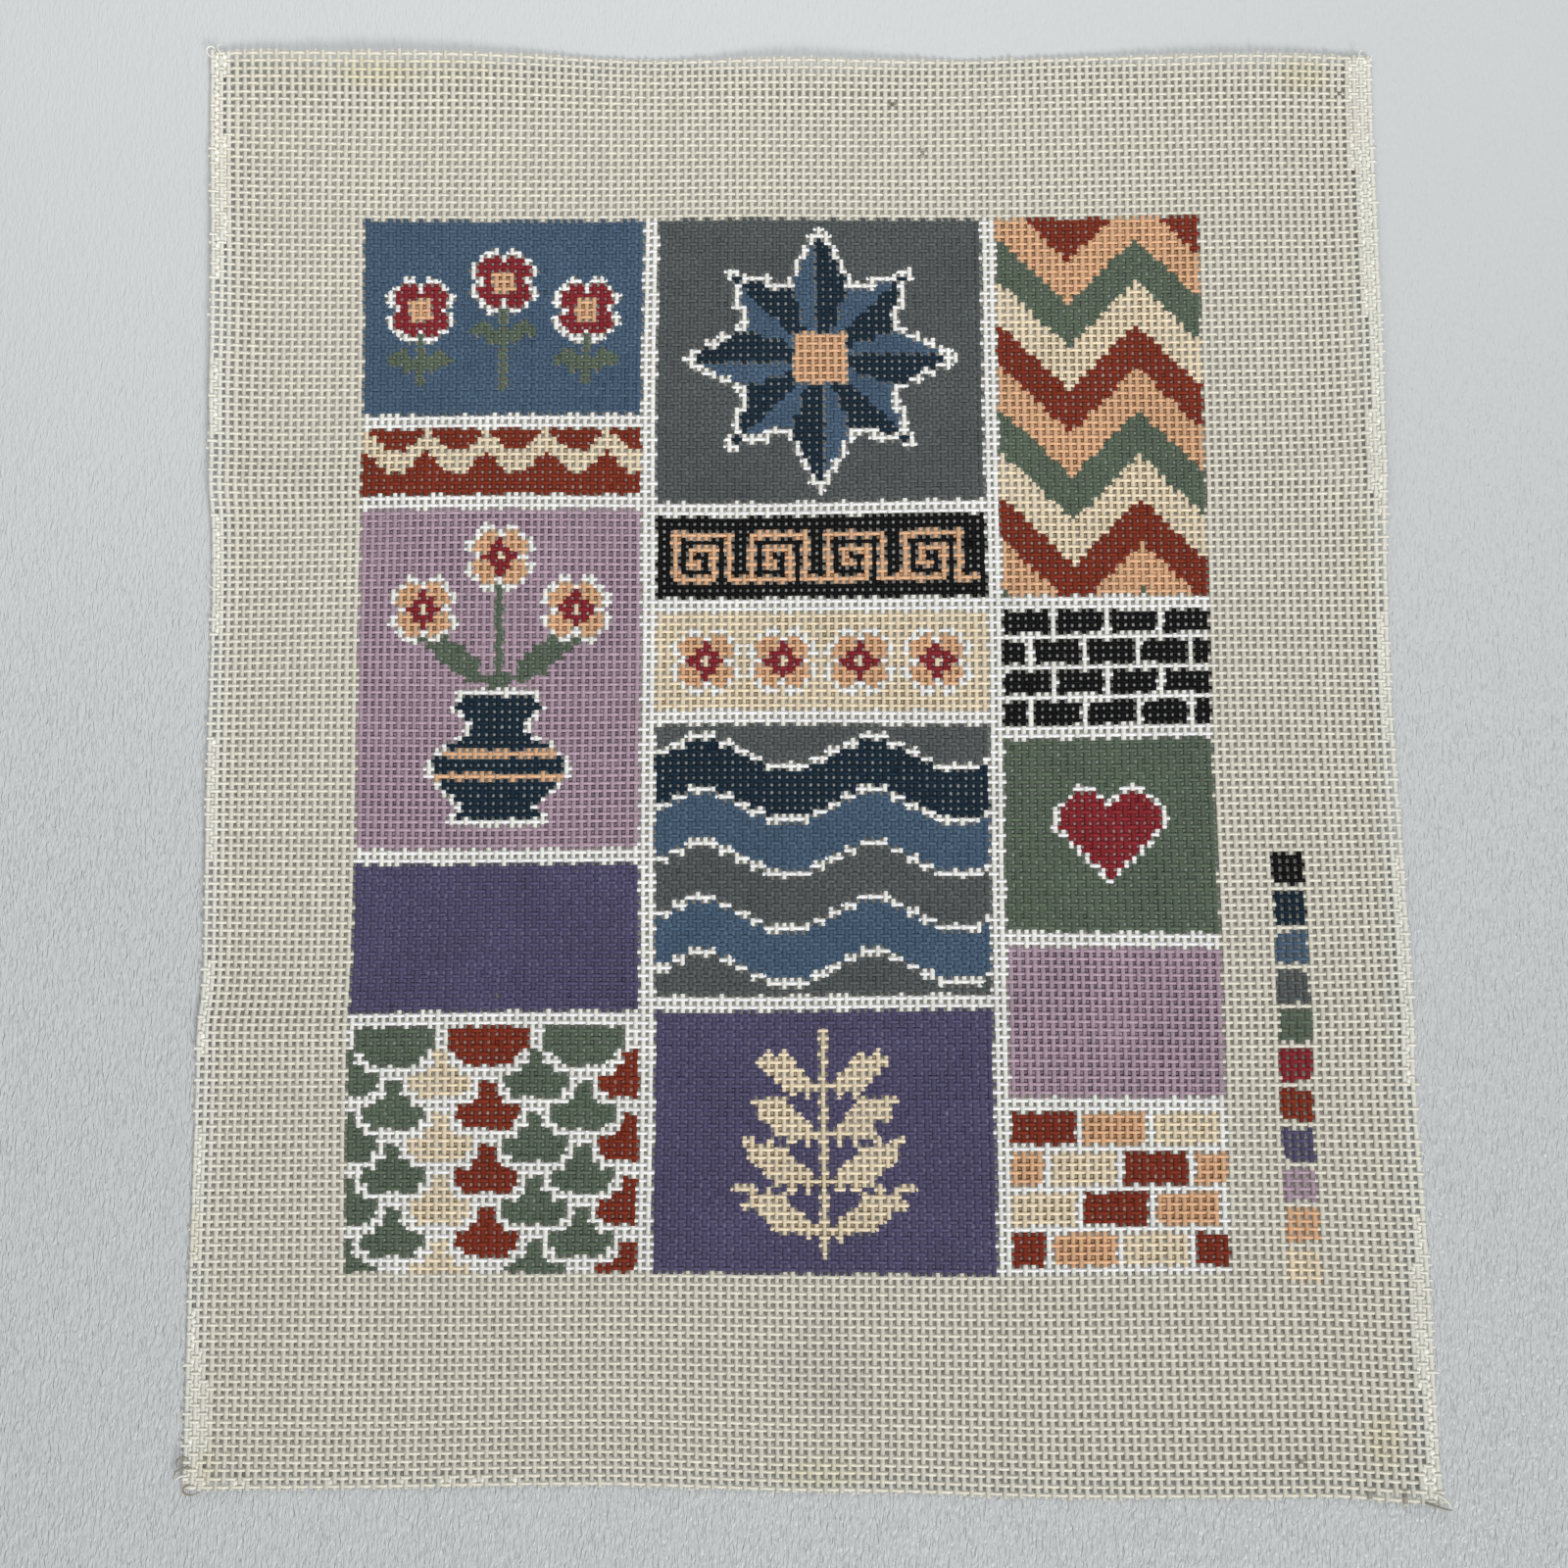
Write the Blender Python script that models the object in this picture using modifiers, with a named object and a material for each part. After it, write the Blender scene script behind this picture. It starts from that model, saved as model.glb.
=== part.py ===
"""A hand-painted needlepoint canvas panel, lying flat.

The panel is one cut length of plain-woven canvas with raw edges. It lies face up on a surface, so
its underside is flat over most of its area. It was folded in three once, which leaves two soft
ridges across it, and its top and side edges have sprung up a little where the stiff cloth curls.

Units are metres, +Z is up, and +Y points to the top of the design. The origin is the middle of
the panel's box, at the surface that it lies on.
"""

import math
from collections import namedtuple

import bpy

MM = 0.001
INCH = 0.0254

# The weave: one thread each way, thirteen to the inch, with a thickness of two threads. The
# crosswise threads lie a little closer together than the lengthwise ones.
THREADS_PER_INCH = 13
THREAD_PITCH = INCH / THREADS_PER_INCH
ROW_PITCH = 0.99 * THREAD_PITCH
THREAD_THICKNESS = 0.55 * MM
SHEET_THICKNESS = 2 * THREAD_THICKNESS

# The straight lines that the edges run beside, in threads from the panel's centre lines.
THREADS_TO_SIDE = 77.0
THREADS_TO_TOP = 94.1

# How fast the unevenness of an edge dies out towards the middle, as a power.
EDGE_FADE = 4

# The modelling grid, fine enough for the ridges and the curled edges.
CELLS_ACROSS = 30
CELLS_DOWN = 36

# How far each edge stands outside its straight line. Along runs from -1 to 1, left to right on the
# top and bottom edges and bottom to top on the side edges. Out is in millimetres.
EdgePoint = namedtuple("EdgePoint", "along out")
LEFT_EDGE = (
    EdgePoint(along=-1.00, out=-1.2),
    EdgePoint(along=-0.44, out=-0.9),
    EdgePoint(along=-0.28, out=-2.2),
    EdgePoint(along=0.20, out=-1.0),
    EdgePoint(along=0.55, out=0.8),
    EdgePoint(along=1.00, out=3.9),
)
RIGHT_EDGE = (
    EdgePoint(along=-1.00, out=3.9),
    EdgePoint(along=-0.75, out=3.1),
    EdgePoint(along=-0.45, out=1.9),
    EdgePoint(along=0.00, out=-0.3),
    EdgePoint(along=0.50, out=0.2),
    EdgePoint(along=1.00, out=1.2),
)
TOP_EDGE = (
    EdgePoint(along=-1.00, out=3.0),
    EdgePoint(along=-0.65, out=1.4),
    EdgePoint(along=-0.20, out=-0.3),
    EdgePoint(along=0.20, out=-1.2),
    EdgePoint(along=0.60, out=-1.0),
    EdgePoint(along=0.80, out=-0.6),
    EdgePoint(along=1.00, out=-1.2),
)
BOTTOM_EDGE = (
    EdgePoint(along=-1.00, out=-0.2),
    EdgePoint(along=-0.35, out=-1.0),
    EdgePoint(along=0.05, out=0.5),
    EdgePoint(along=0.45, out=1.8),
    EdgePoint(along=0.80, out=1.6),
    EdgePoint(along=1.00, out=3.0),
)

# Where an edge has sprung up. Middle and half_length are along the edge, reach is how far the curl
# goes in from it, and height is the lift at the edge itself. All are in millimetres.
EdgeCurl = namedtuple("EdgeCurl", "edge middle half_length reach height")
EDGE_CURLS = (
    EdgeCurl(edge="top", middle=-110.0, half_length=75.0, reach=26.0, height=3.0),
    EdgeCurl(edge="top", middle=5.0, half_length=45.0, reach=22.0, height=2.6),
    EdgeCurl(edge="top", middle=115.0, half_length=70.0, reach=22.0, height=1.8),
    EdgeCurl(edge="left", middle=110.0, half_length=95.0, reach=20.0, height=2.2),
    EdgeCurl(edge="left", middle=-25.0, half_length=60.0, reach=14.0, height=1.0),
    EdgeCurl(edge="right", middle=100.0, half_length=100.0, reach=20.0, height=2.4),
    EdgeCurl(edge="right", middle=-30.0, half_length=60.0, reach=16.0, height=1.6),
    EdgeCurl(edge="bottom", middle=-150.0, half_length=26.0, reach=12.0, height=1.2),
    EdgeCurl(edge="bottom", middle=152.0, half_length=24.0, reach=12.0, height=1.4),
)

# The soft ridges of old folds. A ridge across the panel has a level Y, starts at the edge it is
# named for and fades out inwards over its length. Sizes are in millimetres.
Ridge = namedtuple("Ridge", "edge level half_width length height")
RIDGES = (
    Ridge(edge="left", level=67.0, half_width=13.0, length=96.0, height=1.3),
    Ridge(edge="right", level=69.0, half_width=13.0, length=74.0, height=1.1),
    Ridge(edge="left", level=-71.0, half_width=13.0, length=88.0, height=1.1),
    Ridge(edge="right", level=-70.0, half_width=13.0, length=66.0, height=0.9),
)

# The finish of bare canvas.
CANVAS_COLOUR = (0.66, 0.64, 0.54, 1.0)
CANVAS_ROUGHNESS = 0.85


def clear_scene():
    """Remove every object of the scene that the script starts in."""
    for item in list(bpy.data.objects):
        bpy.data.objects.remove(item, do_unlink=True)


def ease(share):
    """Return a smooth step from 0 to 1 as share goes from 0 to 1."""
    share = min(max(share, 0.0), 1.0)
    return share * share * (3.0 - 2.0 * share)


def edge_out(points, along):
    """Return how far an edge stands outside its straight line at a place along it, in metres."""
    along = min(max(along, points[0].along), points[-1].along)
    for start, end in zip(points, points[1:]):
        if along <= end.along:
            share = (along - start.along) / (end.along - start.along)
            return (start.out + (end.out - start.out) * ease(share)) * MM
    return points[-1].out * MM


def sheet_place(across, down):
    """Return the X and Y of a place on the panel, from -1 to 1 each way, inside the real outline."""
    side_points = RIGHT_EDGE if across > 0.0 else LEFT_EDGE
    end_points = TOP_EDGE if down > 0.0 else BOTTOM_EDGE
    x_out = edge_out(side_points, down) * abs(across) ** EDGE_FADE
    y_out = edge_out(end_points, across) * abs(down) ** EDGE_FADE
    x = across * THREADS_TO_SIDE * THREAD_PITCH + math.copysign(x_out, across)
    y = down * THREADS_TO_TOP * ROW_PITCH + math.copysign(y_out, down)
    return x, y


def edge_distances(across, down):
    """Return the distance in from each edge and the place along it, in metres."""
    x, y = sheet_place(across, down)
    return {
        "left": (x - sheet_place(-1.0, down)[0], y),
        "right": (sheet_place(1.0, down)[0] - x, y),
        "bottom": (y - sheet_place(across, -1.0)[1], x),
        "top": (sheet_place(across, 1.0)[1] - y, x),
    }


def sheet_height(across, down):
    """Return the height of the underside above the surface that the panel lies on, in metres."""
    distances = edge_distances(across, down)
    height = 0.0
    for curl in EDGE_CURLS:
        inward, place = distances[curl.edge]
        along_fade = ease(1.0 - abs(place / MM - curl.middle) / curl.half_length)
        inward_share = max(1.0 - inward / (curl.reach * MM), 0.0)
        height = max(height, curl.height * along_fade * inward_share ** 2)
    for ridge in RIDGES:
        inward, level = distances[ridge.edge]
        across_share = min(abs(level / MM - ridge.level) / ridge.half_width, 1.0)
        profile = (0.5 + 0.5 * math.cos(math.pi * across_share)) ** 2
        fade = ease(1.0 - inward / (ridge.length * MM))
        height += ridge.height * profile * fade
    return height * MM


def canvas_material():
    """Return the material of bare canvas."""
    material = bpy.data.materials.new("bare_canvas")
    material.use_nodes = True
    shader = material.node_tree.nodes["Principled BSDF"]
    shader.inputs["Base Color"].default_value = CANVAS_COLOUR
    shader.inputs["Roughness"].default_value = CANVAS_ROUGHNESS
    shader.inputs["Metallic"].default_value = 0.0
    return material


def make_canvas(collection, parent):
    """Model the canvas: a grid laid to the outline, raised at its folds and given its thickness."""
    bpy.ops.mesh.primitive_grid_add(x_subdivisions=CELLS_ACROSS, y_subdivisions=CELLS_DOWN, size=2.0)
    canvas = bpy.context.object
    canvas.name = "canvas_panel"
    for vertex in canvas.data.vertices:
        across, down = vertex.co.x, vertex.co.y
        x, y = sheet_place(across, down)
        vertex.co = (x, y, sheet_height(across, down))

    canvas.data.materials.append(canvas_material())
    wall = canvas.modifiers.new("thickness", "SOLIDIFY")
    wall.thickness = SHEET_THICKNESS
    wall.offset = 1.0
    canvas.data.shade_smooth()

    for owner in list(canvas.users_collection):
        owner.objects.unlink(canvas)
    collection.objects.link(canvas)
    canvas.parent = parent
    return canvas


def main():
    """Build the panel in its own collection."""
    clear_scene()
    collection = bpy.data.collections.new("needlepoint_canvas_panel")
    bpy.context.scene.collection.children.link(collection)
    frame = bpy.data.objects.new("panel_origin", None)
    collection.objects.link(frame)
    make_canvas(collection, frame)


main()
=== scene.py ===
"""Looks of a hand-painted needlepoint canvas panel, lying flat on a pale table.

The canvas is woven from single threads: the warps run up the panel and the wefts run across it.
Each thread is a real tube that passes over and under the others. Paint covers the threads of the
design and closes some of the holes between them. All sizes are metres unless a name says otherwise,
and a place on the weave is given in threads from the panel's middle.
"""
import logging
import math
from dataclasses import dataclass
from enum import Enum
from typing import Callable, Optional, Sequence

import bmesh
import bpy
import numpy as np
from mathutils import Matrix, Vector


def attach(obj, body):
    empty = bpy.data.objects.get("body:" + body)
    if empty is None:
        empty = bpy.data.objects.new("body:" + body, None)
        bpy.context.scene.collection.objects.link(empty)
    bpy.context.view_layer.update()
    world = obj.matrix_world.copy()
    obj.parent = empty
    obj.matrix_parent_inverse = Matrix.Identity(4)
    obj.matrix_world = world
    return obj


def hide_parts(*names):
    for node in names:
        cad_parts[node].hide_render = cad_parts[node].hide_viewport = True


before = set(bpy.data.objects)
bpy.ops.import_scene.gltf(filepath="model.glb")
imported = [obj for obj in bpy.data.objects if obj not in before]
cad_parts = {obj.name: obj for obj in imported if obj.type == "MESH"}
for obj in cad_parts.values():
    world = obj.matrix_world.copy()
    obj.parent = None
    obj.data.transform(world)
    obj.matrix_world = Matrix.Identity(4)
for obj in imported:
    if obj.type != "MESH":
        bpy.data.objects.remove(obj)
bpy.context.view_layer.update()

CANVAS_NODE = "canvas_panel"
BODY = "root"
LOG = logging.getLogger("canvas_panel")

MM = 0.001
INCH = 0.0254
THREADS_PER_INCH = 13
PITCH = INCH / THREADS_PER_INCH
ROW_PITCH = 0.99 * PITCH

# The weave, in threads from the middle: warps stand at whole columns and wefts at whole rows.
LAST_WARP = 77
LAST_WEFT = 94
# The edge of the cloth past the outermost threads, where the cut ends of the others stick out.
EDGE_COLUMN = LAST_WARP + 0.40
EDGE_ROW = LAST_WEFT + 0.42

# The painted block, by its left column and top row, and its size in threads.
DESIGN_LEFT = -57
DESIGN_TOP = 71
DESIGN_COLUMNS = 111
DESIGN_ROWS = 139

SEED = 20791

FloatArray = np.ndarray


def deselect_all() -> None:
    """Leave nothing selected, because an operator acts on all that is."""
    bpy.ops.object.select_all(action="DESELECT")


def make_active(item: bpy.types.Object) -> None:
    """Select one object alone and make it the active one.

    Args:
        item: the object.
    """
    deselect_all()
    item.select_set(True)
    bpy.context.view_layer.objects.active = item


def smooth_step(share: FloatArray) -> FloatArray:
    """Return a smooth rise from 0 to 1 as share goes from 0 to 1."""
    share = np.clip(share, 0.0, 1.0)
    return share * share * (3.0 - 2.0 * share)


def linear(red: int, green: int, blue: int) -> tuple[float, float, float]:
    """Return a colour given as seen on a screen, from 0 to 255, as the linear values that light uses.

    Args:
        red: the red channel.
        green: the green channel.
        blue: the blue channel.

    Returns:
        The three linear values.
    """
    def one(value: int) -> float:
        """Return one channel."""
        share = value / 255.0
        return share / 12.92 if share <= 0.04045 else ((share + 0.055) / 1.055) ** 2.4
    return one(red), one(green), one(blue)


class Paint(Enum):
    """What covers a crossing of two threads."""
    BARE = 0
    WHITE = 1
    BLACK = 2
    NAVY = 3
    SLATE = 4
    GREY = 5
    GREEN = 6
    CRIMSON = 7
    BRICK = 8
    PURPLE = 9
    LILAC = 10
    PEACH = 11
    CREAM = 12


@dataclass(frozen=True)
class PaintCoat:
    """How one paint looks and how it fills the weave.

    Attributes:
        colour: the paint's own colour, in linear values.
        film: the share of holes that a film of paint closes, in patches. All are closed past 1.
        sunk: how far a film has sunk into its hole, from 0, level, to 1, at the back, and so how much darker it is
            painted as painted shade in the recess.
        thin: how far the middle of a film is painted in the grey of the shaded table under a hole, as painted
            shade.
        body: how much wider the paint makes a thread.
    """
    colour: tuple[float, float, float]
    film: float
    sunk: float
    thin: float
    body: float


COATS: dict[Paint, PaintCoat] = {
    Paint.BARE: PaintCoat(linear(228, 224, 209), film=0.0, sunk=0.5, thin=0.0, body=1.0),
    Paint.WHITE: PaintCoat(linear(250, 249, 243), film=0.05, sunk=0.9, thin=0.0, body=1.03),
    Paint.BLACK: PaintCoat(linear(4, 4, 5), film=1.0, sunk=0.55, thin=0.75, body=1.12),
    Paint.NAVY: PaintCoat(linear(19, 40, 55), film=1.1, sunk=0.50, thin=0.55, body=1.14),
    Paint.SLATE: PaintCoat(linear(73, 95, 117), film=1.3, sunk=0.12, thin=0.0, body=1.08),
    Paint.GREY: PaintCoat(linear(86, 91, 92), film=1.3, sunk=0.14, thin=0.0, body=1.08),
    Paint.GREEN: PaintCoat(linear(92, 106, 89), film=1.2, sunk=0.40, thin=0.24, body=1.10),
    Paint.CRIMSON: PaintCoat(linear(136, 37, 44), film=1.1, sunk=0.50, thin=0.50, body=1.12),
    Paint.BRICK: PaintCoat(linear(127, 46, 25), film=1.1, sunk=0.42, thin=0.38, body=1.12),
    Paint.PURPLE: PaintCoat(linear(84, 79, 110), film=1.2, sunk=0.20, thin=0.06, body=1.08),
    Paint.LILAC: PaintCoat(linear(181, 157, 171), film=1.2, sunk=0.88, thin=0.0, body=1.0),
    Paint.PEACH: PaintCoat(linear(228, 181, 141), film=1.2, sunk=0.90, thin=0.0, body=1.0),
    Paint.CREAM: PaintCoat(linear(239, 222, 192), film=0.46, sunk=1.0, thin=0.0, body=1.0),
}
# The grey of the table in shade under a hole, painted into the middle of films as painted shade, and the size that
# stiffens the side edges.
SHADED_TABLE_GREY = np.array(linear(178, 180, 178))
EDGE_SIZE = np.array(linear(236, 235, 226))


LETTERS = {
    "w": Paint.WHITE, "k": Paint.BLACK, "n": Paint.NAVY, "g": Paint.GREEN, "r": Paint.CRIMSON,
    "b": Paint.BRICK, "o": Paint.PEACH, "c": Paint.CREAM,
}

# Small motifs, charted one letter a stitch.
POSY = (
    "...ww.ww...",
    "..wrrwrrw..",
    ".wrrrrrrrw.",
    ".wrrooorrw.",
    "..wrooorw..",
    ".wrrooorrw.",
    ".wrrrrrrrw.",
    "..wrrwrrw..",
    "...wwgww...",
    ".....g.....",
    "..gg.g.gg..",
    ".ggggggggg.",
    "...ggggg...",
    ".....g.....",
    ".....g.....",
)
BLOOM = (
    "..ww.ww..",
    ".woowoow.",
    "wooorooow",
    "woorrroow",
    ".wrrcrrw.",
    "woorrroow",
    "wooorooow",
    ".woowoow.",
    "..ww.ww..",
)
LEAF = (
    ".....gg",
    "...gggg",
    "..ggggg",
    ".ggggg.",
    ".gggg..",
    "ggg....",
)
HEART = (
    "...www...www...",
    "..wrrrw.wrrrw..",
    ".wrrrrrwrrrrrw.",
    "wrrrrrrrrrrrrrw",
    "wrrrrrrrrrrrrrw",
    "wrrrrrrrrrrrrrw",
    ".wrrrrrrrrrrrw.",
    "..wrrrrrrrrrw..",
    "...wrrrrrrrw...",
    "....wrrrrrw....",
    ".....wrrrw.....",
    "......wrw......",
    ".......w.......",
)
MEANDER = (
    "oooooooo..",
    "o......o..",
    "o.oooo.o..",
    "o.o..o.o..",
    "o.oo.o.o..",
    "o....o.o..",
    "oooooo.ooo",
)
# Half the width of the vase at each row, from its lip down to its foot.
VASE_HALF_WIDTHS = (4, 5, 4, 3, 3, 4, 6, 7, 8, 8, 8, 7, 6, 5, 4, 5)
VASE_BANDS = (7, 10)

Rule = Callable[[int, int], Optional[Paint]]


class Chart:
    """The whole canvas as one paint for each crossing, top row first."""

    def __init__(self) -> None:
        """Start with bare canvas all over."""
        self.cells = np.zeros((2 * LAST_WEFT + 1, 2 * LAST_WARP + 1), int)

    def put(self, column: int, row: int, paint: Paint) -> None:
        """Paint one crossing, counted from the design's top left corner.

        Args:
            column: the crossing's column.
            row: the crossing's row.
            paint: its paint.
        """
        across = DESIGN_LEFT + LAST_WARP + column
        down = LAST_WEFT - DESIGN_TOP + row
        if 0 <= down < self.cells.shape[0] and 0 <= across < self.cells.shape[1]:
            self.cells[down, across] = paint.value

    def fill(self, left: int, top: int, width: int, height: int, paint: Paint) -> None:
        """Paint a rectangle of crossings.

        Args:
            left: its left column.
            top: its top row.
            width: its width in threads.
            height: its height in threads.
            paint: its paint.
        """
        for row in range(top, top + height):
            for column in range(left, left + width):
                self.put(column, row, paint)


class Block:
    """One painted block of the design, with its own column 0 and row 0 at its top left."""

    def __init__(self, chart: Chart, left: int, top: int, width: int, height: int, ground: Paint) -> None:
        """Paint the block's ground.

        Args:
            chart: the chart that the block is part of.
            left: the block's left column.
            top: its top row.
            width: its width in threads.
            height: its height in threads.
            ground: the paint all over it.
        """
        self.chart = chart
        self.left, self.top, self.width, self.height = left, top, width, height
        chart.fill(left, top, width, height, ground)

    def put(self, column: int, row: int, paint: Paint) -> None:
        """Paint one crossing, if it lies in the block."""
        if 0 <= column < self.width and 0 <= row < self.height:
            self.chart.put(self.left + column, self.top + row, paint)

    def cover(self, rule: Rule) -> None:
        """Paint each crossing for which the rule names a paint.

        Args:
            rule: gives the paint of a column and row, or None to leave it.
        """
        for row in range(self.height):
            for column in range(self.width):
                paint = rule(column, row)
                if paint is not None:
                    self.put(column, row, paint)

    def stamp(self, motif: Sequence[str], left: int, top: int, flip: bool = False) -> None:
        """Paint a charted motif, turned left to right if flip is true.

        Args:
            motif: its rows, top first, one letter a stitch.
            left: its left column.
            top: its top row.
            flip: whether it is turned left to right.
        """
        for row, line in enumerate(motif):
            for column, letter in enumerate(reversed(line) if flip else line):
                if letter != ".":
                    self.put(left + column, top + row, LETTERS[letter])

    def star(self, reach: float, light: Paint, dark: Paint, heart: Paint) -> None:
        """Paint an eight-pointed quilt star, each point split in two, with a white outline.

        Args:
            reach: the length of a point in threads.
            light: the paint of one half of each point.
            dark: the paint of the other half.
            heart: the paint of its middle.
        """
        middle_column, middle_row = self.width // 2, self.height // 2
        slope = 1.9

        def rule(column: int, row: int) -> Optional[Paint]:
            """Return the paint of one crossing.

            Args:
                column: the crossing's column.
                row: the crossing's row.

            Returns:
                Its paint, or None to leave it.
            """
            x, y = column - middle_column, row - middle_row
            long, short = max(abs(x), abs(y)), min(abs(x), abs(y))
            straight = long + slope * short
            diagonal = (long + short + slope * (long - short)) * math.sqrt(0.5)
            size = min(straight, 1.08 * diagonal)
            if size >= reach + (2.0 if straight <= size else 2.7):
                return None
            if size >= reach:
                return Paint.WHITE
            if long < 0.22 * reach:
                return heart
            turn = (math.atan2(y, x) / (math.pi / 8.0)) % 2.0
            return dark if turn < 1.0 else light

        self.cover(rule)

    def zigzag(self, paints: Sequence[Paint], rise: int, run: int, deep: int) -> None:
        """Paint stripes that rise and fall together, as in flame stitch.

        Args:
            paints: the stripes' paints, in order.
            rise: how many rows a stripe rises.
            run: over how many columns it does so.
            deep: the depth of a stripe in rows.
        """
        def rule(column: int, row: int) -> Optional[Paint]:
            """Return the paint of one crossing.

            Args:
                column: the crossing's column.
                row: the crossing's row.

            Returns:
                Its paint, or None to leave it.
            """
            lean = abs(column % (2 * run) - run) * rise // run
            return paints[(row + lean) // deep % len(paints)]

        self.cover(rule)

    def waves(self, paints: Sequence[Paint], deep: int, long: float, swing: float) -> None:
        """Paint wavy stripes parted by white lines.

        Args:
            paints: the stripes' paints, in order.
            deep: the depth of a stripe in rows.
            long: the length of a wave in columns.
            swing: its height in rows.
        """
        def rule(column: int, row: int) -> Optional[Paint]:
            """Return the paint of one crossing.

            Args:
                column: the crossing's column.
                row: the crossing's row.

            Returns:
                Its paint, or None to leave it.
            """
            level = row + swing * math.sin(2.0 * math.pi * column / long) + 1.6 * deep
            stripe = int(level // deep)
            return Paint.WHITE if level - stripe * deep < 1.0 else paints[stripe % len(paints)]

        self.cover(rule)

    def scallops(self, paints: Sequence[Paint], wide: int, deep: int) -> None:
        """Paint overlapping fish scales, each row shifted by half a scale.

        Args:
            paints: the scales' paints, in order.
            wide: the width of a scale.
            deep: how many rows lie between one tier and the next.
        """
        def rule(column: int, row: int) -> Optional[Paint]:
            """Return the paint of one crossing.

            Args:
                column: the crossing's column.
                row: the crossing's row.

            Returns:
                Its paint, or None to leave it.
            """
            for tier in range(row // deep + 2):
                below = row - tier * deep
                shifted = column + (wide // 2 if tier % 2 else 0)
                distance = math.hypot(shifted % wide - wide / 2 + 0.5, below)
                index = (shifted // wide + 2 * tier) % len(paints)
                if below < 0:
                    return paints[index]
                if distance < wide / 2 + 0.2:
                    return Paint.WHITE if distance > wide / 2 - 1.0 else paints[index]
            return None

        self.cover(rule)

    def bricks(self, paints: Sequence[Paint], wide: int, deep: int) -> None:
        """Paint courses of bricks with white joints.

        Args:
            paints: the bricks' paints, in order.
            wide: the length of a brick and its joint.
            deep: the depth of a brick and its joint.
        """
        def rule(column: int, row: int) -> Optional[Paint]:
            """Return the paint of one crossing.

            Args:
                column: the crossing's column.
                row: the crossing's row.

            Returns:
                Its paint, or None to leave it.
            """
            course = row // deep
            shifted = column + (wide // 2 if course % 2 else 0)
            if row % deep == deep - 1 or shifted % wide == wide - 1:
                return Paint.WHITE
            return paints[(shifted // wide + course) % len(paints)]

        self.cover(rule)

    def sprig(self, paint: Paint, pairs: int) -> None:
        """Paint an upright stem with pairs of leaves.

        Args:
            paint: its paint.
            pairs: how many pairs.
        """
        middle = self.width // 2
        for row in range(2, self.height - 2):
            self.put(middle, row, paint)
        gap = (self.height - 7) // pairs
        for pair in range(pairs):
            root, reach = self.height - 5 - pair * gap, 12 - pair
            for step in range(1, reach):
                half = max(2.3 * math.sin(math.pi * step / reach), 0.5)
                for rise in range(-2, 3):
                    if abs(rise) <= half:
                        row = round(root - 0.55 * step + rise)
                        self.put(middle + step, row, paint)
                        self.put(middle - step, row, paint)

    def vase(self, middle: int, foot: int, paint: Paint, band: Paint) -> int:
        """Paint a banded vase with a white outline.

        Args:
            middle: the column of its middle.
            foot: the row of its foot.
            paint: the vase's own paint.
            band: the paint of its two bands.

        Returns:
            The row of its lip.
        """
        lip = foot - len(VASE_HALF_WIDTHS) + 1
        for index, half in enumerate(VASE_HALF_WIDTHS):
            for column in range(middle - half, middle + half + 1):
                self.put(column, lip + index, band if index in VASE_BANDS else paint)
            self.put(middle - half - 1, lip + index, Paint.WHITE)
            self.put(middle + half + 1, lip + index, Paint.WHITE)
        for row, half in ((lip - 1, VASE_HALF_WIDTHS[0]), (foot + 1, VASE_HALF_WIDTHS[-1])):
            for column in range(middle - half - 1, middle + half + 2):
                self.put(column, row, Paint.WHITE)
        return lip

    def stem(self, start: tuple[int, int], end: tuple[int, int], bend: float, paint: Paint) -> None:
        """Paint a thin bent line from one crossing to another.

        Args:
            start: the first crossing.
            end: the last crossing.
            bend: how far it bows to the right, in threads.
            paint: its paint.
        """
        steps = 60
        for step in range(steps + 1):
            share = step / steps
            column = start[0] + (end[0] - start[0]) * share + bend * math.sin(math.pi * share)
            row = start[1] + (end[1] - start[1]) * share
            self.put(round(column), round(row), paint)


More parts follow.
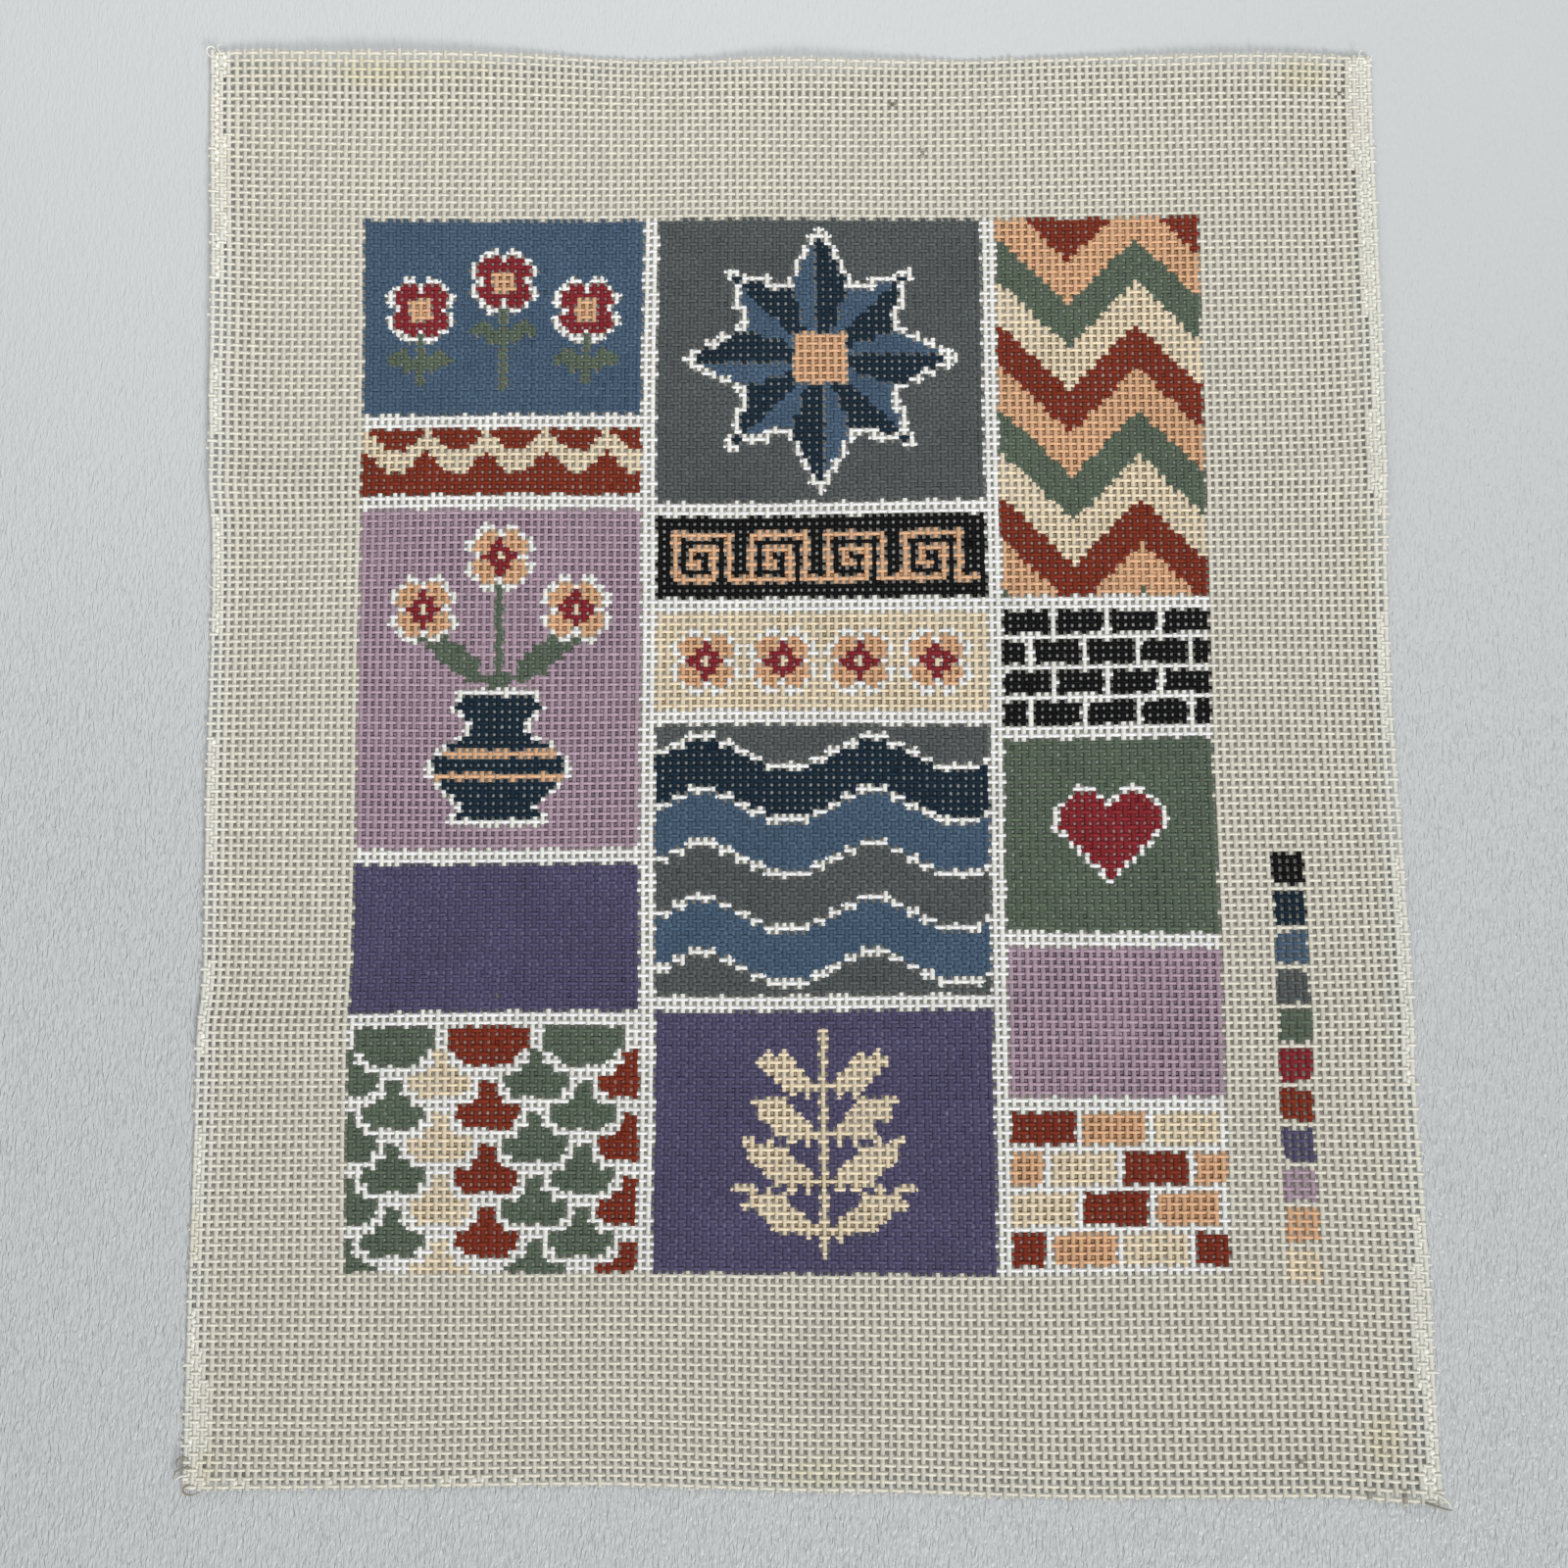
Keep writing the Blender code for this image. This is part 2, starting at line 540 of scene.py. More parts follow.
@dataclass
class Design:
    """The painted design: a patchwork in three columns of blocks, and the colour key beside it."""
    left_width: int = 37
    middle_width: int = 43
    right_width: int = 27
    line: int = 2
    key_column: int = 118
    key_row: int = 86
    key_side: int = 4
    key_step: int = 5
    key_paints: tuple[Paint, ...] = (
        Paint.BLACK, Paint.NAVY, Paint.SLATE, Paint.GREY, Paint.GREEN, Paint.CRIMSON,
        Paint.BRICK, Paint.PURPLE, Paint.LILAC, Paint.PEACH, Paint.CREAM,
    )

    def draw(self) -> Chart:
        """Return the chart of the whole canvas.

        Returns:
            The chart.
        """
        chart = Chart()
        chart.fill(0, 0, DESIGN_COLUMNS, DESIGN_ROWS, Paint.WHITE)
        self.left_column(chart)
        self.middle_column(chart, self.left_width + self.line)
        self.right_column(chart, self.left_width + self.middle_width + 2 * self.line)
        for index, paint in enumerate(self.key_paints):
            row = self.key_row + index * self.key_step
            chart.fill(self.key_column, row, self.key_side, self.key_side, paint)
        return chart

    def left_column(self, chart: Chart) -> None:
        """Paint three posies, a zigzag, a vase of flowers, a plain block and fish scales.

        Args:
            chart: the chart of the whole canvas.
        """
        width = self.left_width
        posies = Block(chart, 0, 0, width, 27, Paint.SLATE)
        posies.stamp(POSY, 2, 8)
        posies.stamp(POSY, 24, 8)
        posies.stamp(POSY, 13, 4)
        posies.stem((18, 18), (18, 23), 0.0, Paint.GREEN)
        Block(chart, 0, 29, width, 9, Paint.BRICK).zigzag((Paint.BRICK, Paint.CREAM, Paint.BRICK), 3, 4, 3)
        flowers = Block(chart, 0, 40, width, 45, Paint.LILAC)
        lip = flowers.vase(18, 40, Paint.NAVY, Paint.PEACH)
        for column, row, bend in ((8, 16, -2.0), (28, 16, 2.0), (18, 8, 0.0)):
            flowers.stem((18, lip - 2), (column, row), bend, Paint.GREEN)
        flowers.stamp(LEAF, 20, 17)
        flowers.stamp(LEAF, 10, 17, flip=True)
        for column, row in ((4, 9), (24, 9), (14, 2)):
            flowers.stamp(BLOOM, column, row)
        Block(chart, 0, 87, width, 19, Paint.PURPLE)
        scales = Block(chart, 0, 108, width, 31, Paint.GREEN)
        scales.scallops((Paint.GREEN, Paint.BRICK, Paint.GREEN, Paint.CREAM), 12, 4)

    def middle_column(self, chart: Chart, left: int) -> None:
        """Paint a quilt star, a meander, a row of blooms, waves and a sprig.

        Args:
            chart: the chart of the whole canvas.
            left: the left column of its blocks.
        """
        width = self.middle_width
        Block(chart, left, 0, width, 39, Paint.GREY).star(17.0, Paint.SLATE, Paint.NAVY, Paint.PEACH)
        border = Block(chart, left, 41, width, 11, Paint.BLACK)
        for column in range(2, width - len(MEANDER[0]) + 1, len(MEANDER[0])):
            border.stamp(MEANDER, column, 2)
        row_of_blooms = Block(chart, left, 54, width, 13, Paint.CREAM)
        for index in range(4):
            row_of_blooms.stamp(BLOOM, 2 + 10 * index, 2)
        water = Block(chart, left, 69, width, 35, Paint.SLATE)
        water.waves((Paint.SLATE, Paint.GREY, Paint.NAVY, Paint.SLATE, Paint.GREY), 7, 22.0, 2.2)
        Block(chart, left, 106, width, 33, Paint.PURPLE).sprig(Paint.CREAM, 4)

    def right_column(self, chart: Chart, left: int) -> None:
        """Paint flame stitch, black bricks, a heart, a plain block and coloured bricks.

        Args:
            chart: the chart of the whole canvas.
            left: the left column of its blocks.
        """
        width = self.right_width
        flame = Block(chart, left, 0, width, 52, Paint.BRICK)
        flame.zigzag((Paint.BRICK, Paint.PEACH, Paint.GREEN, Paint.CREAM), 9, 9, 6)
        Block(chart, left, 54, width, 15, Paint.BLACK).bricks((Paint.BLACK,), 7, 4)
        Block(chart, left, 71, width, 25, Paint.GREEN).stamp(HEART, 6, 6)
        Block(chart, left, 98, width, 19, Paint.LILAC)
        Block(chart, left, 119, width, 20, Paint.BRICK).bricks((Paint.BRICK, Paint.PEACH, Paint.CREAM), 9, 5)


@dataclass(frozen=True)
class EdgePoint:
    """How far an edge stands outside its straight line, in millimetres, at a place from -1 to 1."""
    along: float
    out: float


@dataclass(frozen=True)
class EdgeCurl:
    """Where an edge has sprung up. Sizes are in millimetres, and middle is measured along the edge."""
    edge: str
    middle: float
    half_length: float
    reach: float
    height: float


@dataclass(frozen=True)
class Ridge:
    """The soft ridge of an old fold, which fades inwards from an edge. Sizes are in millimetres."""
    edge: str
    level: float
    half_width: float
    length: float
    height: float


LEFT_EDGE = (
    EdgePoint(-1.00, -1.2), EdgePoint(-0.44, -0.9), EdgePoint(-0.28, -2.2),
    EdgePoint(0.20, -1.0), EdgePoint(0.55, 0.8), EdgePoint(1.00, 3.9),
)
RIGHT_EDGE = (
    EdgePoint(-1.00, 3.9), EdgePoint(-0.75, 3.1), EdgePoint(-0.45, 1.9),
    EdgePoint(0.00, -0.3), EdgePoint(0.50, 0.2), EdgePoint(1.00, 1.2),
)
TOP_EDGE = (
    EdgePoint(-1.00, 3.0), EdgePoint(-0.65, 1.4), EdgePoint(-0.20, -0.3), EdgePoint(0.20, -1.2),
    EdgePoint(0.60, -1.0), EdgePoint(0.80, -0.6), EdgePoint(1.00, -1.2),
)
BOTTOM_EDGE = (
    EdgePoint(-1.00, -0.2), EdgePoint(-0.35, -1.0), EdgePoint(0.05, 0.5),
    EdgePoint(0.45, 1.8), EdgePoint(0.80, 1.6), EdgePoint(1.00, 3.0),
)
EDGE_CURLS = (
    EdgeCurl("top", middle=-110.0, half_length=75.0, reach=26.0, height=3.0),
    EdgeCurl("top", middle=5.0, half_length=45.0, reach=22.0, height=2.6),
    EdgeCurl("top", middle=115.0, half_length=70.0, reach=22.0, height=1.8),
    EdgeCurl("left", middle=110.0, half_length=95.0, reach=20.0, height=2.2),
    EdgeCurl("left", middle=-25.0, half_length=60.0, reach=14.0, height=1.0),
    EdgeCurl("right", middle=100.0, half_length=100.0, reach=20.0, height=2.4),
    EdgeCurl("right", middle=-30.0, half_length=60.0, reach=16.0, height=1.6),
    EdgeCurl("bottom", middle=-150.0, half_length=26.0, reach=12.0, height=1.2),
    EdgeCurl("bottom", middle=152.0, half_length=24.0, reach=12.0, height=1.4),
)
RIDGES = (
    Ridge("left", level=67.0, half_width=13.0, length=96.0, height=1.3),
    Ridge("right", level=69.0, half_width=13.0, length=74.0, height=1.1),
    Ridge("left", level=-71.0, half_width=13.0, length=88.0, height=1.1),
    Ridge("right", level=-70.0, half_width=13.0, length=66.0, height=0.9),
)


@dataclass
class Lay:
    """How the canvas lies: where a place on the weave is in the room, with its unevenness.

    Attributes:
        side: the straight line of the side edges, from the middle.
        end: the straight line of the top and bottom edges, from the middle.
        middle_x: the X of the middle column.
        middle_y: the Y of the middle row.
        mid_height: the height of the weave's middle layer above the cloth's underside.
        drift: how far the weave wanders slowly, in threads.
        thread_stray: how far single threads lie off their places, in threads.
    """
    side: float = 77.0 * PITCH
    end: float = 94.1 * ROW_PITCH
    middle_x: float = 0.35 * PITCH
    middle_y: float = -0.3 * PITCH
    mid_height: float = 0.20 * PITCH
    drift: float = 0.08
    thread_stray: float = 0.028

    def __post_init__(self) -> None:
        """Draw the seeded unevenness of the weave."""
        rng = np.random.default_rng(SEED)
        self.warp_stray = rng.normal(0.0, self.thread_stray, 2 * LAST_WARP + 9)
        self.weft_stray = rng.normal(0.0, self.thread_stray, 2 * LAST_WEFT + 9)
        self.swells = [
            (rng.uniform(0.02, 0.11, 2), rng.uniform(0.0, 2.0 * math.pi, 2), rng.normal(0.0, 1.0, 2))
            for _ in range(7)
        ]

    @staticmethod
    def edge_out(points: Sequence[EdgePoint], along: FloatArray) -> FloatArray:
        """Return how far an edge stands outside its straight line at places along it, in metres.

        Args:
            points: the edge's points, in order.
            along: the places, from -1 to 1.

        Returns:
            The distances outwards.
        """
        along = np.clip(along, -1.0, 1.0)
        out = np.full(along.shape, points[-1].out)
        for start, end in reversed(list(zip(points, points[1:]))):
            share = smooth_step((along - start.along) / (end.along - start.along))
            here = start.out + (end.out - start.out) * share
            out = np.where(along <= end.along, here, out)
        return out * MM

    def edges(self, across: FloatArray, down: FloatArray) -> dict[str, FloatArray]:
        """Return the place of each edge level with the given places.

        Args:
            across: the places across the panel, from -1 to 1.
            down: the places up it, from -1 to 1.

        Returns:
            The X of the side edges and the Y of the other two, by name.
        """
        return {
            "left": -(self.side + self.edge_out(LEFT_EDGE, down)),
            "right": self.side + self.edge_out(RIGHT_EDGE, down),
            "bottom": -(self.end + self.edge_out(BOTTOM_EDGE, across)),
            "top": self.end + self.edge_out(TOP_EDGE, across),
        }

    def plan(self, column: FloatArray, row: FloatArray) -> tuple[FloatArray, FloatArray]:
        """Return X and Y of places given in threads, with the outline of the real canvas.

        Args:
            column: the places' columns, with fractions.
            row: their rows, with fractions.

        Returns:
            X and Y in metres.
        """
        across, down = column / EDGE_COLUMN, row / EDGE_ROW
        edges = self.edges(across, down)
        x = self.middle_x + column * PITCH
        y = self.middle_y + row * ROW_PITCH
        flare_side = np.clip(np.abs(across), 0.0, 1.2) ** 4
        flare_end = np.clip(np.abs(down), 0.0, 1.2) ** 4
        reach_x, reach_y = EDGE_COLUMN * PITCH, EDGE_ROW * ROW_PITCH
        x = x + flare_side * np.where(
            across > 0.0, edges["right"] - self.middle_x - reach_x, edges["left"] - self.middle_x + reach_x)
        y = y + flare_end * np.where(
            down > 0.0, edges["top"] - self.middle_y - reach_y, edges["bottom"] - self.middle_y + reach_y)
        return x, y

    def lift(self, x: FloatArray, y: FloatArray, across: FloatArray, down: FloatArray) -> FloatArray:
        """Return the height of the cloth's underside above the table.

        Args:
            x: the places' X in metres.
            y: their Y in metres.
            across: the same places across the panel, from -1 to 1.
            down: and up it, from -1 to 1.

        Returns:
            The heights in metres.
        """
        edges = self.edges(across, down)
        inward = {
            "left": x - edges["left"], "right": edges["right"] - x,
            "bottom": y - edges["bottom"], "top": edges["top"] - y,
        }
        place = {"left": y, "right": y, "bottom": x, "top": x}
        height = np.zeros(x.shape)
        for curl in EDGE_CURLS:
            fade = smooth_step(1.0 - np.abs(place[curl.edge] / MM - curl.middle) / curl.half_length)
            share = np.clip(1.0 - inward[curl.edge] / (curl.reach * MM), 0.0, 1.3)
            height = np.maximum(height, curl.height * fade * share ** 2)
        for ridge in RIDGES:
            share = np.clip(np.abs(place[ridge.edge] / MM - ridge.level) / ridge.half_width, 0.0, 1.0)
            fade = smooth_step(1.0 - inward[ridge.edge] / (ridge.length * MM))
            height += ridge.height * (0.5 + 0.5 * np.cos(np.pi * share)) ** 2 * fade
        return height * MM

    def wander(self, column: FloatArray, row: FloatArray) -> tuple[FloatArray, FloatArray]:
        """Return the slow unevenness of the weave at places, in threads.

        Args:
            column: the places' columns, with fractions.
            row: their rows, with fractions.

        Returns:
            How far the threads stray across and up.
        """
        side, end = np.zeros(column.shape), np.zeros(column.shape)
        for rate, phase, weight in self.swells:
            wave = np.sin(rate[0] * column + phase[0]) * np.sin(rate[1] * row + phase[1])
            side += weight[0] * wave
            end += weight[1] * np.cos(rate[1] * column + phase[1]) * np.sin(rate[0] * row + phase[0])
        return side * self.drift, end * self.drift

    def place(self, points: FloatArray) -> FloatArray:
        """Return the places in the room of points given in threads, with their height in threads.

        Args:
            points: one row of column, row and rise for each.

        Returns:
            One row of X, Y and Z in metres for each.
        """
        column, row, rise = points[:, 0], points[:, 1], points[:, 2]
        side, end = self.wander(column, row)
        x, y = self.plan(column + side, row + end)
        height = self.lift(x, y, column / EDGE_COLUMN, row / EDGE_ROW)
        return np.stack([x, y, height + self.mid_height + rise * PITCH], axis=1)


@dataclass(frozen=True)
class Soil:
    """A stain or scuff on the canvas: its middle and radii in threads, and how it tints the cloth."""
    column: float
    row: float
    wide: float
    high: float
    tint: tuple[float, float, float]
    strength: float


YELLOWED = (1.0, 0.955, 0.80)
GLUED = (0.97, 0.93, 0.70)
GREYED = (0.62, 0.62, 0.64)
DIRT = (0.30, 0.28, 0.26)
SOILS = (
    Soil(-64.0, 92.0, 9.0, 2.0, GLUED, 0.16),
    Soil(-56.0, 91.5, 4.0, 1.6, YELLOWED, 0.6),
    Soil(-47.0, 92.0, 7.0, 1.3, YELLOWED, 0.4),
    Soil(68.0, 91.5, 3.0, 1.8, YELLOWED, 0.7),
    Soil(76.0, 24.0, 2.5, 7.0, YELLOWED, 0.4),
    Soil(77.0, -52.0, 2.0, 9.0, YELLOWED, 0.4),
    Soil(-76.0, 82.0, 2.2, 8.0, YELLOWED, 0.25),
    Soil(-77.0, -63.0, 0.9, 3.0, GLUED, 0.5),
    Soil(-74.5, -91.5, 1.3, 1.8, GLUED, 0.35),
    Soil(3.0, -92.0, 5.0, 1.5, YELLOWED, 0.5),
    Soil(71.0, -87.0, 2.0, 3.0, YELLOWED, 0.6),
    Soil(2.0, -79.0, 5.0, 4.0, GREYED, 0.16),
    Soil(6.0, -83.0, 2.5, 2.5, GREYED, 0.20),
    Soil(-77.3, -93.9, 0.7, 0.4, DIRT, 0.6),
    Soil(77.0, -94.3, 1.6, 0.4, DIRT, 0.6),
    Soil(73.0, -93.5, 0.4, 0.5, DIRT, 0.9),
    Soil(69.0, -93.6, 0.4, 0.5, DIRT, 0.7),
    Soil(13.0, 88.0, 0.45, 0.3, DIRT, 1.0),
    Soil(17.0, 81.0, 0.3, 0.45, DIRT, 0.8),
    Soil(61.0, -90.0, 0.45, 0.3, DIRT, 0.8),
    Soil(73.0, 89.0, 0.4, 0.3, DIRT, 1.0),
    Soil(-52.0, -34.0, 0.3, 0.4, DIRT, 0.5),
)


class Colouring:
    """Gives every face of the weave its colour from the chart, the stains and the dye's unevenness, with painted
    shade on the warps and a painted highlight on the wefts.
    """

    def __init__(self, chart: Chart) -> None:
        """Read the chart and draw the seeded choices.

        Args:
            chart: the chart of the whole canvas.
        """
        self.chart = chart
        self.rng = np.random.default_rng(SEED + 1)
        self.palette = np.array([COATS[paint].colour for paint in Paint])
        self.bodies = np.array([COATS[paint].body for paint in Paint])
        shape = chart.cells.shape
        self.across_picks = self.rng.random((shape[0], shape[1] + 1))
        self.down_picks = self.rng.random((shape[0] + 1, shape[1]))
        self.crossing_tone = self.rng.normal(1.0, 0.022, shape)
        # Painted shade and highlight: warps are painted darker and wefts lighter for how they catch the light,
        # with a small random variation on each thread.
        self.warp_tone_and_shade = self.rng.normal(0.80, 0.02, shape[1] + 2)
        self.weft_tone_and_highlight = self.rng.normal(1.08, 0.02, shape[0] + 2)

    def at(self, column: FloatArray, row: FloatArray) -> FloatArray:
        """Return the chart's paint at crossings given in threads, and bare canvas outside it.

        Args:
            column: the crossings' columns.
            row: their rows.

        Returns:
            The number of each one's paint.
        """
        down = np.clip(LAST_WEFT - row, 0, self.chart.cells.shape[0] - 1).astype(int)
        across = np.clip(column + LAST_WARP, 0, self.chart.cells.shape[1] - 1).astype(int)
        return self.chart.cells[down, across]

    def pick(self, first: FloatArray, second: FloatArray, draw: FloatArray) -> FloatArray:
        """Return which of two neighbouring paints covers the stretch of thread between them.

        Args:
            first: the paint at its low end.
            second: the paint at its high end.
            draw: a random draw from 0 to 1 for each stretch.

        Returns:
            The number of each stretch's paint.
        """
        bare = Paint.BARE.value
        lean = np.full(first.shape, 0.5)
        lean = np.where((first != bare) & (second == bare), 0.62, lean)
        lean = np.where((first == bare) & (second != bare), 0.38, lean)
        white = Paint.WHITE.value
        lean = np.where((first == white) & (second > white), 0.42, lean)
        lean = np.where((second == white) & (first > white), 0.58, lean)
        return np.where(draw < lean, first, second)

    def paints_of(self, column: FloatArray, row: FloatArray, along_rows: bool) -> FloatArray:
        """Return the paint of faces at places given in threads.

        Args:
            column: the column of each face's middle, with its fraction.
            row: the row of each face's middle, with its fraction.
            along_rows: true for wefts, which run along a row.

        Returns:
            The number of each face's paint.
        """
        along, thread = (column, row) if along_rows else (row, column)
        nearest, thread = np.round(along), np.round(thread)
        low = np.floor(along)
        between = np.abs(along - low - 0.5) < 0.22

        def look(place: FloatArray) -> FloatArray:
            """Return the paint at crossings along each thread."""
            return self.at(place, thread) if along_rows else self.at(thread, place)

        if along_rows:
            draw = self.across_picks[
                np.clip(LAST_WEFT - thread, 0, self.across_picks.shape[0] - 1).astype(int),
                np.clip(low + LAST_WARP, 0, self.across_picks.shape[1] - 1).astype(int)]
        else:
            draw = self.down_picks[
                np.clip(LAST_WEFT - low, 0, self.down_picks.shape[0] - 1).astype(int),
                np.clip(thread + LAST_WARP, 0, self.down_picks.shape[1] - 1).astype(int)]
        return np.where(between, self.pick(look(low), look(low + 1.0), draw), look(nearest))

    def soiled(self, colour: FloatArray, column: FloatArray, row: FloatArray) -> FloatArray:
        """Return colours tinted by the stains at their places.

        Args:
            colour: one row of red, green and blue for each place.
            column: the places' columns, with fractions.
            row: their rows, with fractions.

        Returns:
            The tinted colours.
        """
        for soil in SOILS:
            far = np.hypot((column - soil.column) / soil.wide, (row - soil.row) / soil.high)
            share = soil.strength * smooth_step(1.6 - far)
            colour = colour * (1.0 + share[:, None] * (np.array(soil.tint) - 1.0))
        return colour

    def faces(self, column: FloatArray, row: FloatArray, along_rows: bool) -> FloatArray:
        """Return red, green, blue and paint cover of faces at places given in threads.

        Args:
            column: the places' columns, with fractions.
            row: their rows, with fractions.
            along_rows: true for wefts, which run along a row.

        Returns:
            One row of four values for each face.
        """
        paints = self.paints_of(column, row, along_rows)
        down = np.clip(np.round(LAST_WEFT - row), 0, self.crossing_tone.shape[0] - 1).astype(int)
        across = np.clip(np.round(column + LAST_WARP), 0, self.crossing_tone.shape[1] - 1).astype(int)
        # The warps' painted shade or the wefts' painted highlight, times each crossing's random variation.
        tone_and_painted_light = self.weft_tone_and_highlight[down] if along_rows else self.warp_tone_and_shade[across]
        tone_and_painted_light = self.crossing_tone[down, across] * tone_and_painted_light
        colour = self.soiled(self.palette[paints] * tone_and_painted_light[:, None], column, row)
        sealed = smooth_step((np.abs(column) - (LAST_WARP - 3.5)) / 3.0)
        bare = paints == Paint.BARE.value
        sealed = (sealed * bare * (0.50 if along_rows else 0.62))[:, None]
        colour = colour * (1.0 - sealed) + EDGE_SIZE * (1.04 if along_rows else 0.90) * sealed
        return np.concatenate([np.clip(colour, 0.0, 0.95), (~bare).astype(float)[:, None]], axis=1)


@dataclass(frozen=True)
class Section:
    """A thread's cross-section and path, in threads.

    Attributes:
        sides: how many sides the tube has.
        half_width: half its width.
        radius_up: how far its ridge stands above its own line.
        swing: how far its line rises over a crossing and falls under the next.
        over: half the level stretch over a crossing.
        under: half the level stretch under a crossing.
        roll: the angle by which the section is turned, so that a flat side is up.
    """
    sides: int
    half_width: float
    radius_up: float
    swing: float
    over: float
    under: float
    roll: float = 0.0


WARP = Section(
    sides=4, half_width=0.260, radius_up=0.085, swing=0.035, over=0.30, under=0.26, roll=math.pi / 4.0)
WEFT = Section(
    sides=3, half_width=0.200, radius_up=0.055, swing=0.085, over=0.27, under=0.20, roll=math.pi)


@dataclass
class ThreadGroup:
    """A band of neighbouring warps or wefts, woven whole from edge to edge.

    Attributes:
        name: the finished piece's name.
        section: the threads' section.
        along_rows: true for wefts.
        first: the number of its first thread.
        last: the number of its last thread.
        tip: how much of each cut end tapers, in threads.
    """
    name: str
    section: Section
    along_rows: bool
    first: int
    last: int
    tip: float = 0.12

    @property
    def reach(self) -> int:
        """Return the number of the last crossing along a thread."""
        return LAST_WARP if self.along_rows else LAST_WEFT

    @property
    def stub(self) -> float:
        """Return how far a thread sticks out past its last crossing."""
        return (EDGE_COLUMN - LAST_WARP) if self.along_rows else (EDGE_ROW - LAST_WEFT)

    @property
    def ragged(self) -> float:
        """Return how unevenly the threads are cut."""
        return 0.15 if self.along_rows else 0.09

    def model_unit(self, start: float) -> bpy.types.Object:
        """Return one over and under of a thread along X, extruded ring by ring from a small circle.

        Args:
            start: the place of the crossing that it goes over.

        Returns:
            The open tube.
        """
        part = self.section
        deselect_all()
        bpy.ops.mesh.primitive_circle_add(vertices=part.sides, radius=1.0, fill_type="NOTHING")
        unit = bpy.context.object
        upright = Matrix.Rotation(math.pi / 2.0, 4, "Z") @ Matrix.Rotation(math.pi / 2.0, 4, "X")
        unit.data.transform(upright @ Matrix.Rotation(part.roll, 4, "Z"))
        widest = max(abs(vertex.co.y) for vertex in unit.data.vertices)
        highest = max(vertex.co.z for vertex in unit.data.vertices)
        bpy.ops.object.mode_set(mode="EDIT")
        bpy.ops.mesh.select_all(action="SELECT")
        size = (1.0, part.half_width / widest, part.radius_up / highest)
        bpy.ops.transform.resize(value=size, center_override=(0, 0, 0))
        bpy.ops.transform.translate(value=(start - part.over, 0.0, part.swing))
        slope = 1.0 - part.over - part.under
        for forward, rise in (
                (2.0 * part.over, 0.0), (slope, -2.0 * part.swing),
                (2.0 * part.under, 0.0), (slope, 2.0 * part.swing)):
            bpy.ops.mesh.extrude_region_move(TRANSFORM_OT_translate={"value": (forward, 0.0, rise)})
        bpy.ops.object.mode_set(mode="OBJECT")
        return unit

    @staticmethod
    def repeat(item: bpy.types.Object, count: int, step: tuple[float, float, float], merge: bool) -> None:
        """Repeat a piece with an Array modifier, and apply it.

        Args:
            item: the piece.
            count: how many there are in the end.
            step: from one to the next.
            merge: whether neighbours are joined.
        """
        make_active(item)
        row = item.modifiers.new("row", "ARRAY")
        row.fit_type = "FIXED_COUNT"
        row.count = count
        row.use_relative_offset = False
        row.use_constant_offset = True
        row.constant_offset_displace = step
        row.use_merge_vertices = merge
        row.merge_threshold = 0.0001
        bpy.ops.object.modifier_apply(modifier=row.name)

    def weave(self) -> bpy.types.Object:
        """Return the band as straight tubes in thread units, wefts along X and warps along Y.

        Returns:
            The band, whose crossings lie at whole numbers.
        """
        lead = 2 * (self.reach // 2 + 2)
        parity = 0 if self.along_rows else 1
        pair = []
        for index in range(2):
            thread = self.first + index
            tube = self.model_unit(float((thread + parity) % 2) - lead)
            self.repeat(tube, lead, (2.0, 0.0, 0.0), merge=True)
            tube.data.transform(Matrix.Translation((0.0, thread, 0.0)))
            pair.append(tube)
        deselect_all()
        for tube in pair:
            tube.select_set(True)
        bpy.context.view_layer.objects.active = pair[0]
        bpy.ops.object.join()
        band = bpy.context.object
        count = self.last - self.first + 1
        self.repeat(band, (count + 1) // 2, (0.0, 2.0, 0.0), merge=False)
        self.trim(band)
        if not self.along_rows:
            band.data.transform(Matrix.Rotation(math.pi / 2.0, 4, "Z") @ Matrix.Scale(-1.0, 4, (0, 1, 0)))
            band.data.flip_normals()
        band.name = band.data.name = self.name
        return band

    def trim(self, band: bpy.types.Object) -> None:
        """Cut the tubes to the cloth's edges, close each end to a point and drop a thread too many.

        Args:
            band: the band, with its threads along X.
        """
        edge = self.reach + self.stub - self.tip
        make_active(band)
        bpy.ops.object.mode_set(mode="EDIT")
        for side in (-1.0, 1.0):
            bpy.ops.mesh.select_all(action="SELECT")
            bpy.ops.mesh.bisect(plane_co=(side * edge, 0.0, 0.0), plane_no=(side, 0.0, 0.0), clear_outer=True)
            bpy.ops.mesh.extrude_region_move(TRANSFORM_OT_translate={"value": (side * self.tip, 0.0, 0.0)})
            bpy.ops.transform.resize(value=(1.0, 1.0, 0.8), center_override=(side * edge, 0.0, 0.0))
            half = side * 0.5 * self.tip
            bpy.ops.mesh.extrude_region_move(TRANSFORM_OT_translate={"value": (half, 0.0, 0.0)})
            bpy.ops.mesh.merge(type="COLLAPSE")
        bpy.ops.object.mode_set(mode="OBJECT")
        mesh = bmesh.new()
        mesh.from_mesh(band.data)
        spare = [vertex for vertex in mesh.verts if vertex.co.y > self.last + 0.5]
        bmesh.ops.delete(mesh, geom=spare, context="VERTS")
        bmesh.ops.recalc_face_normals(mesh, faces=mesh.faces)
        mesh.to_mesh(band.data)
        mesh.free()

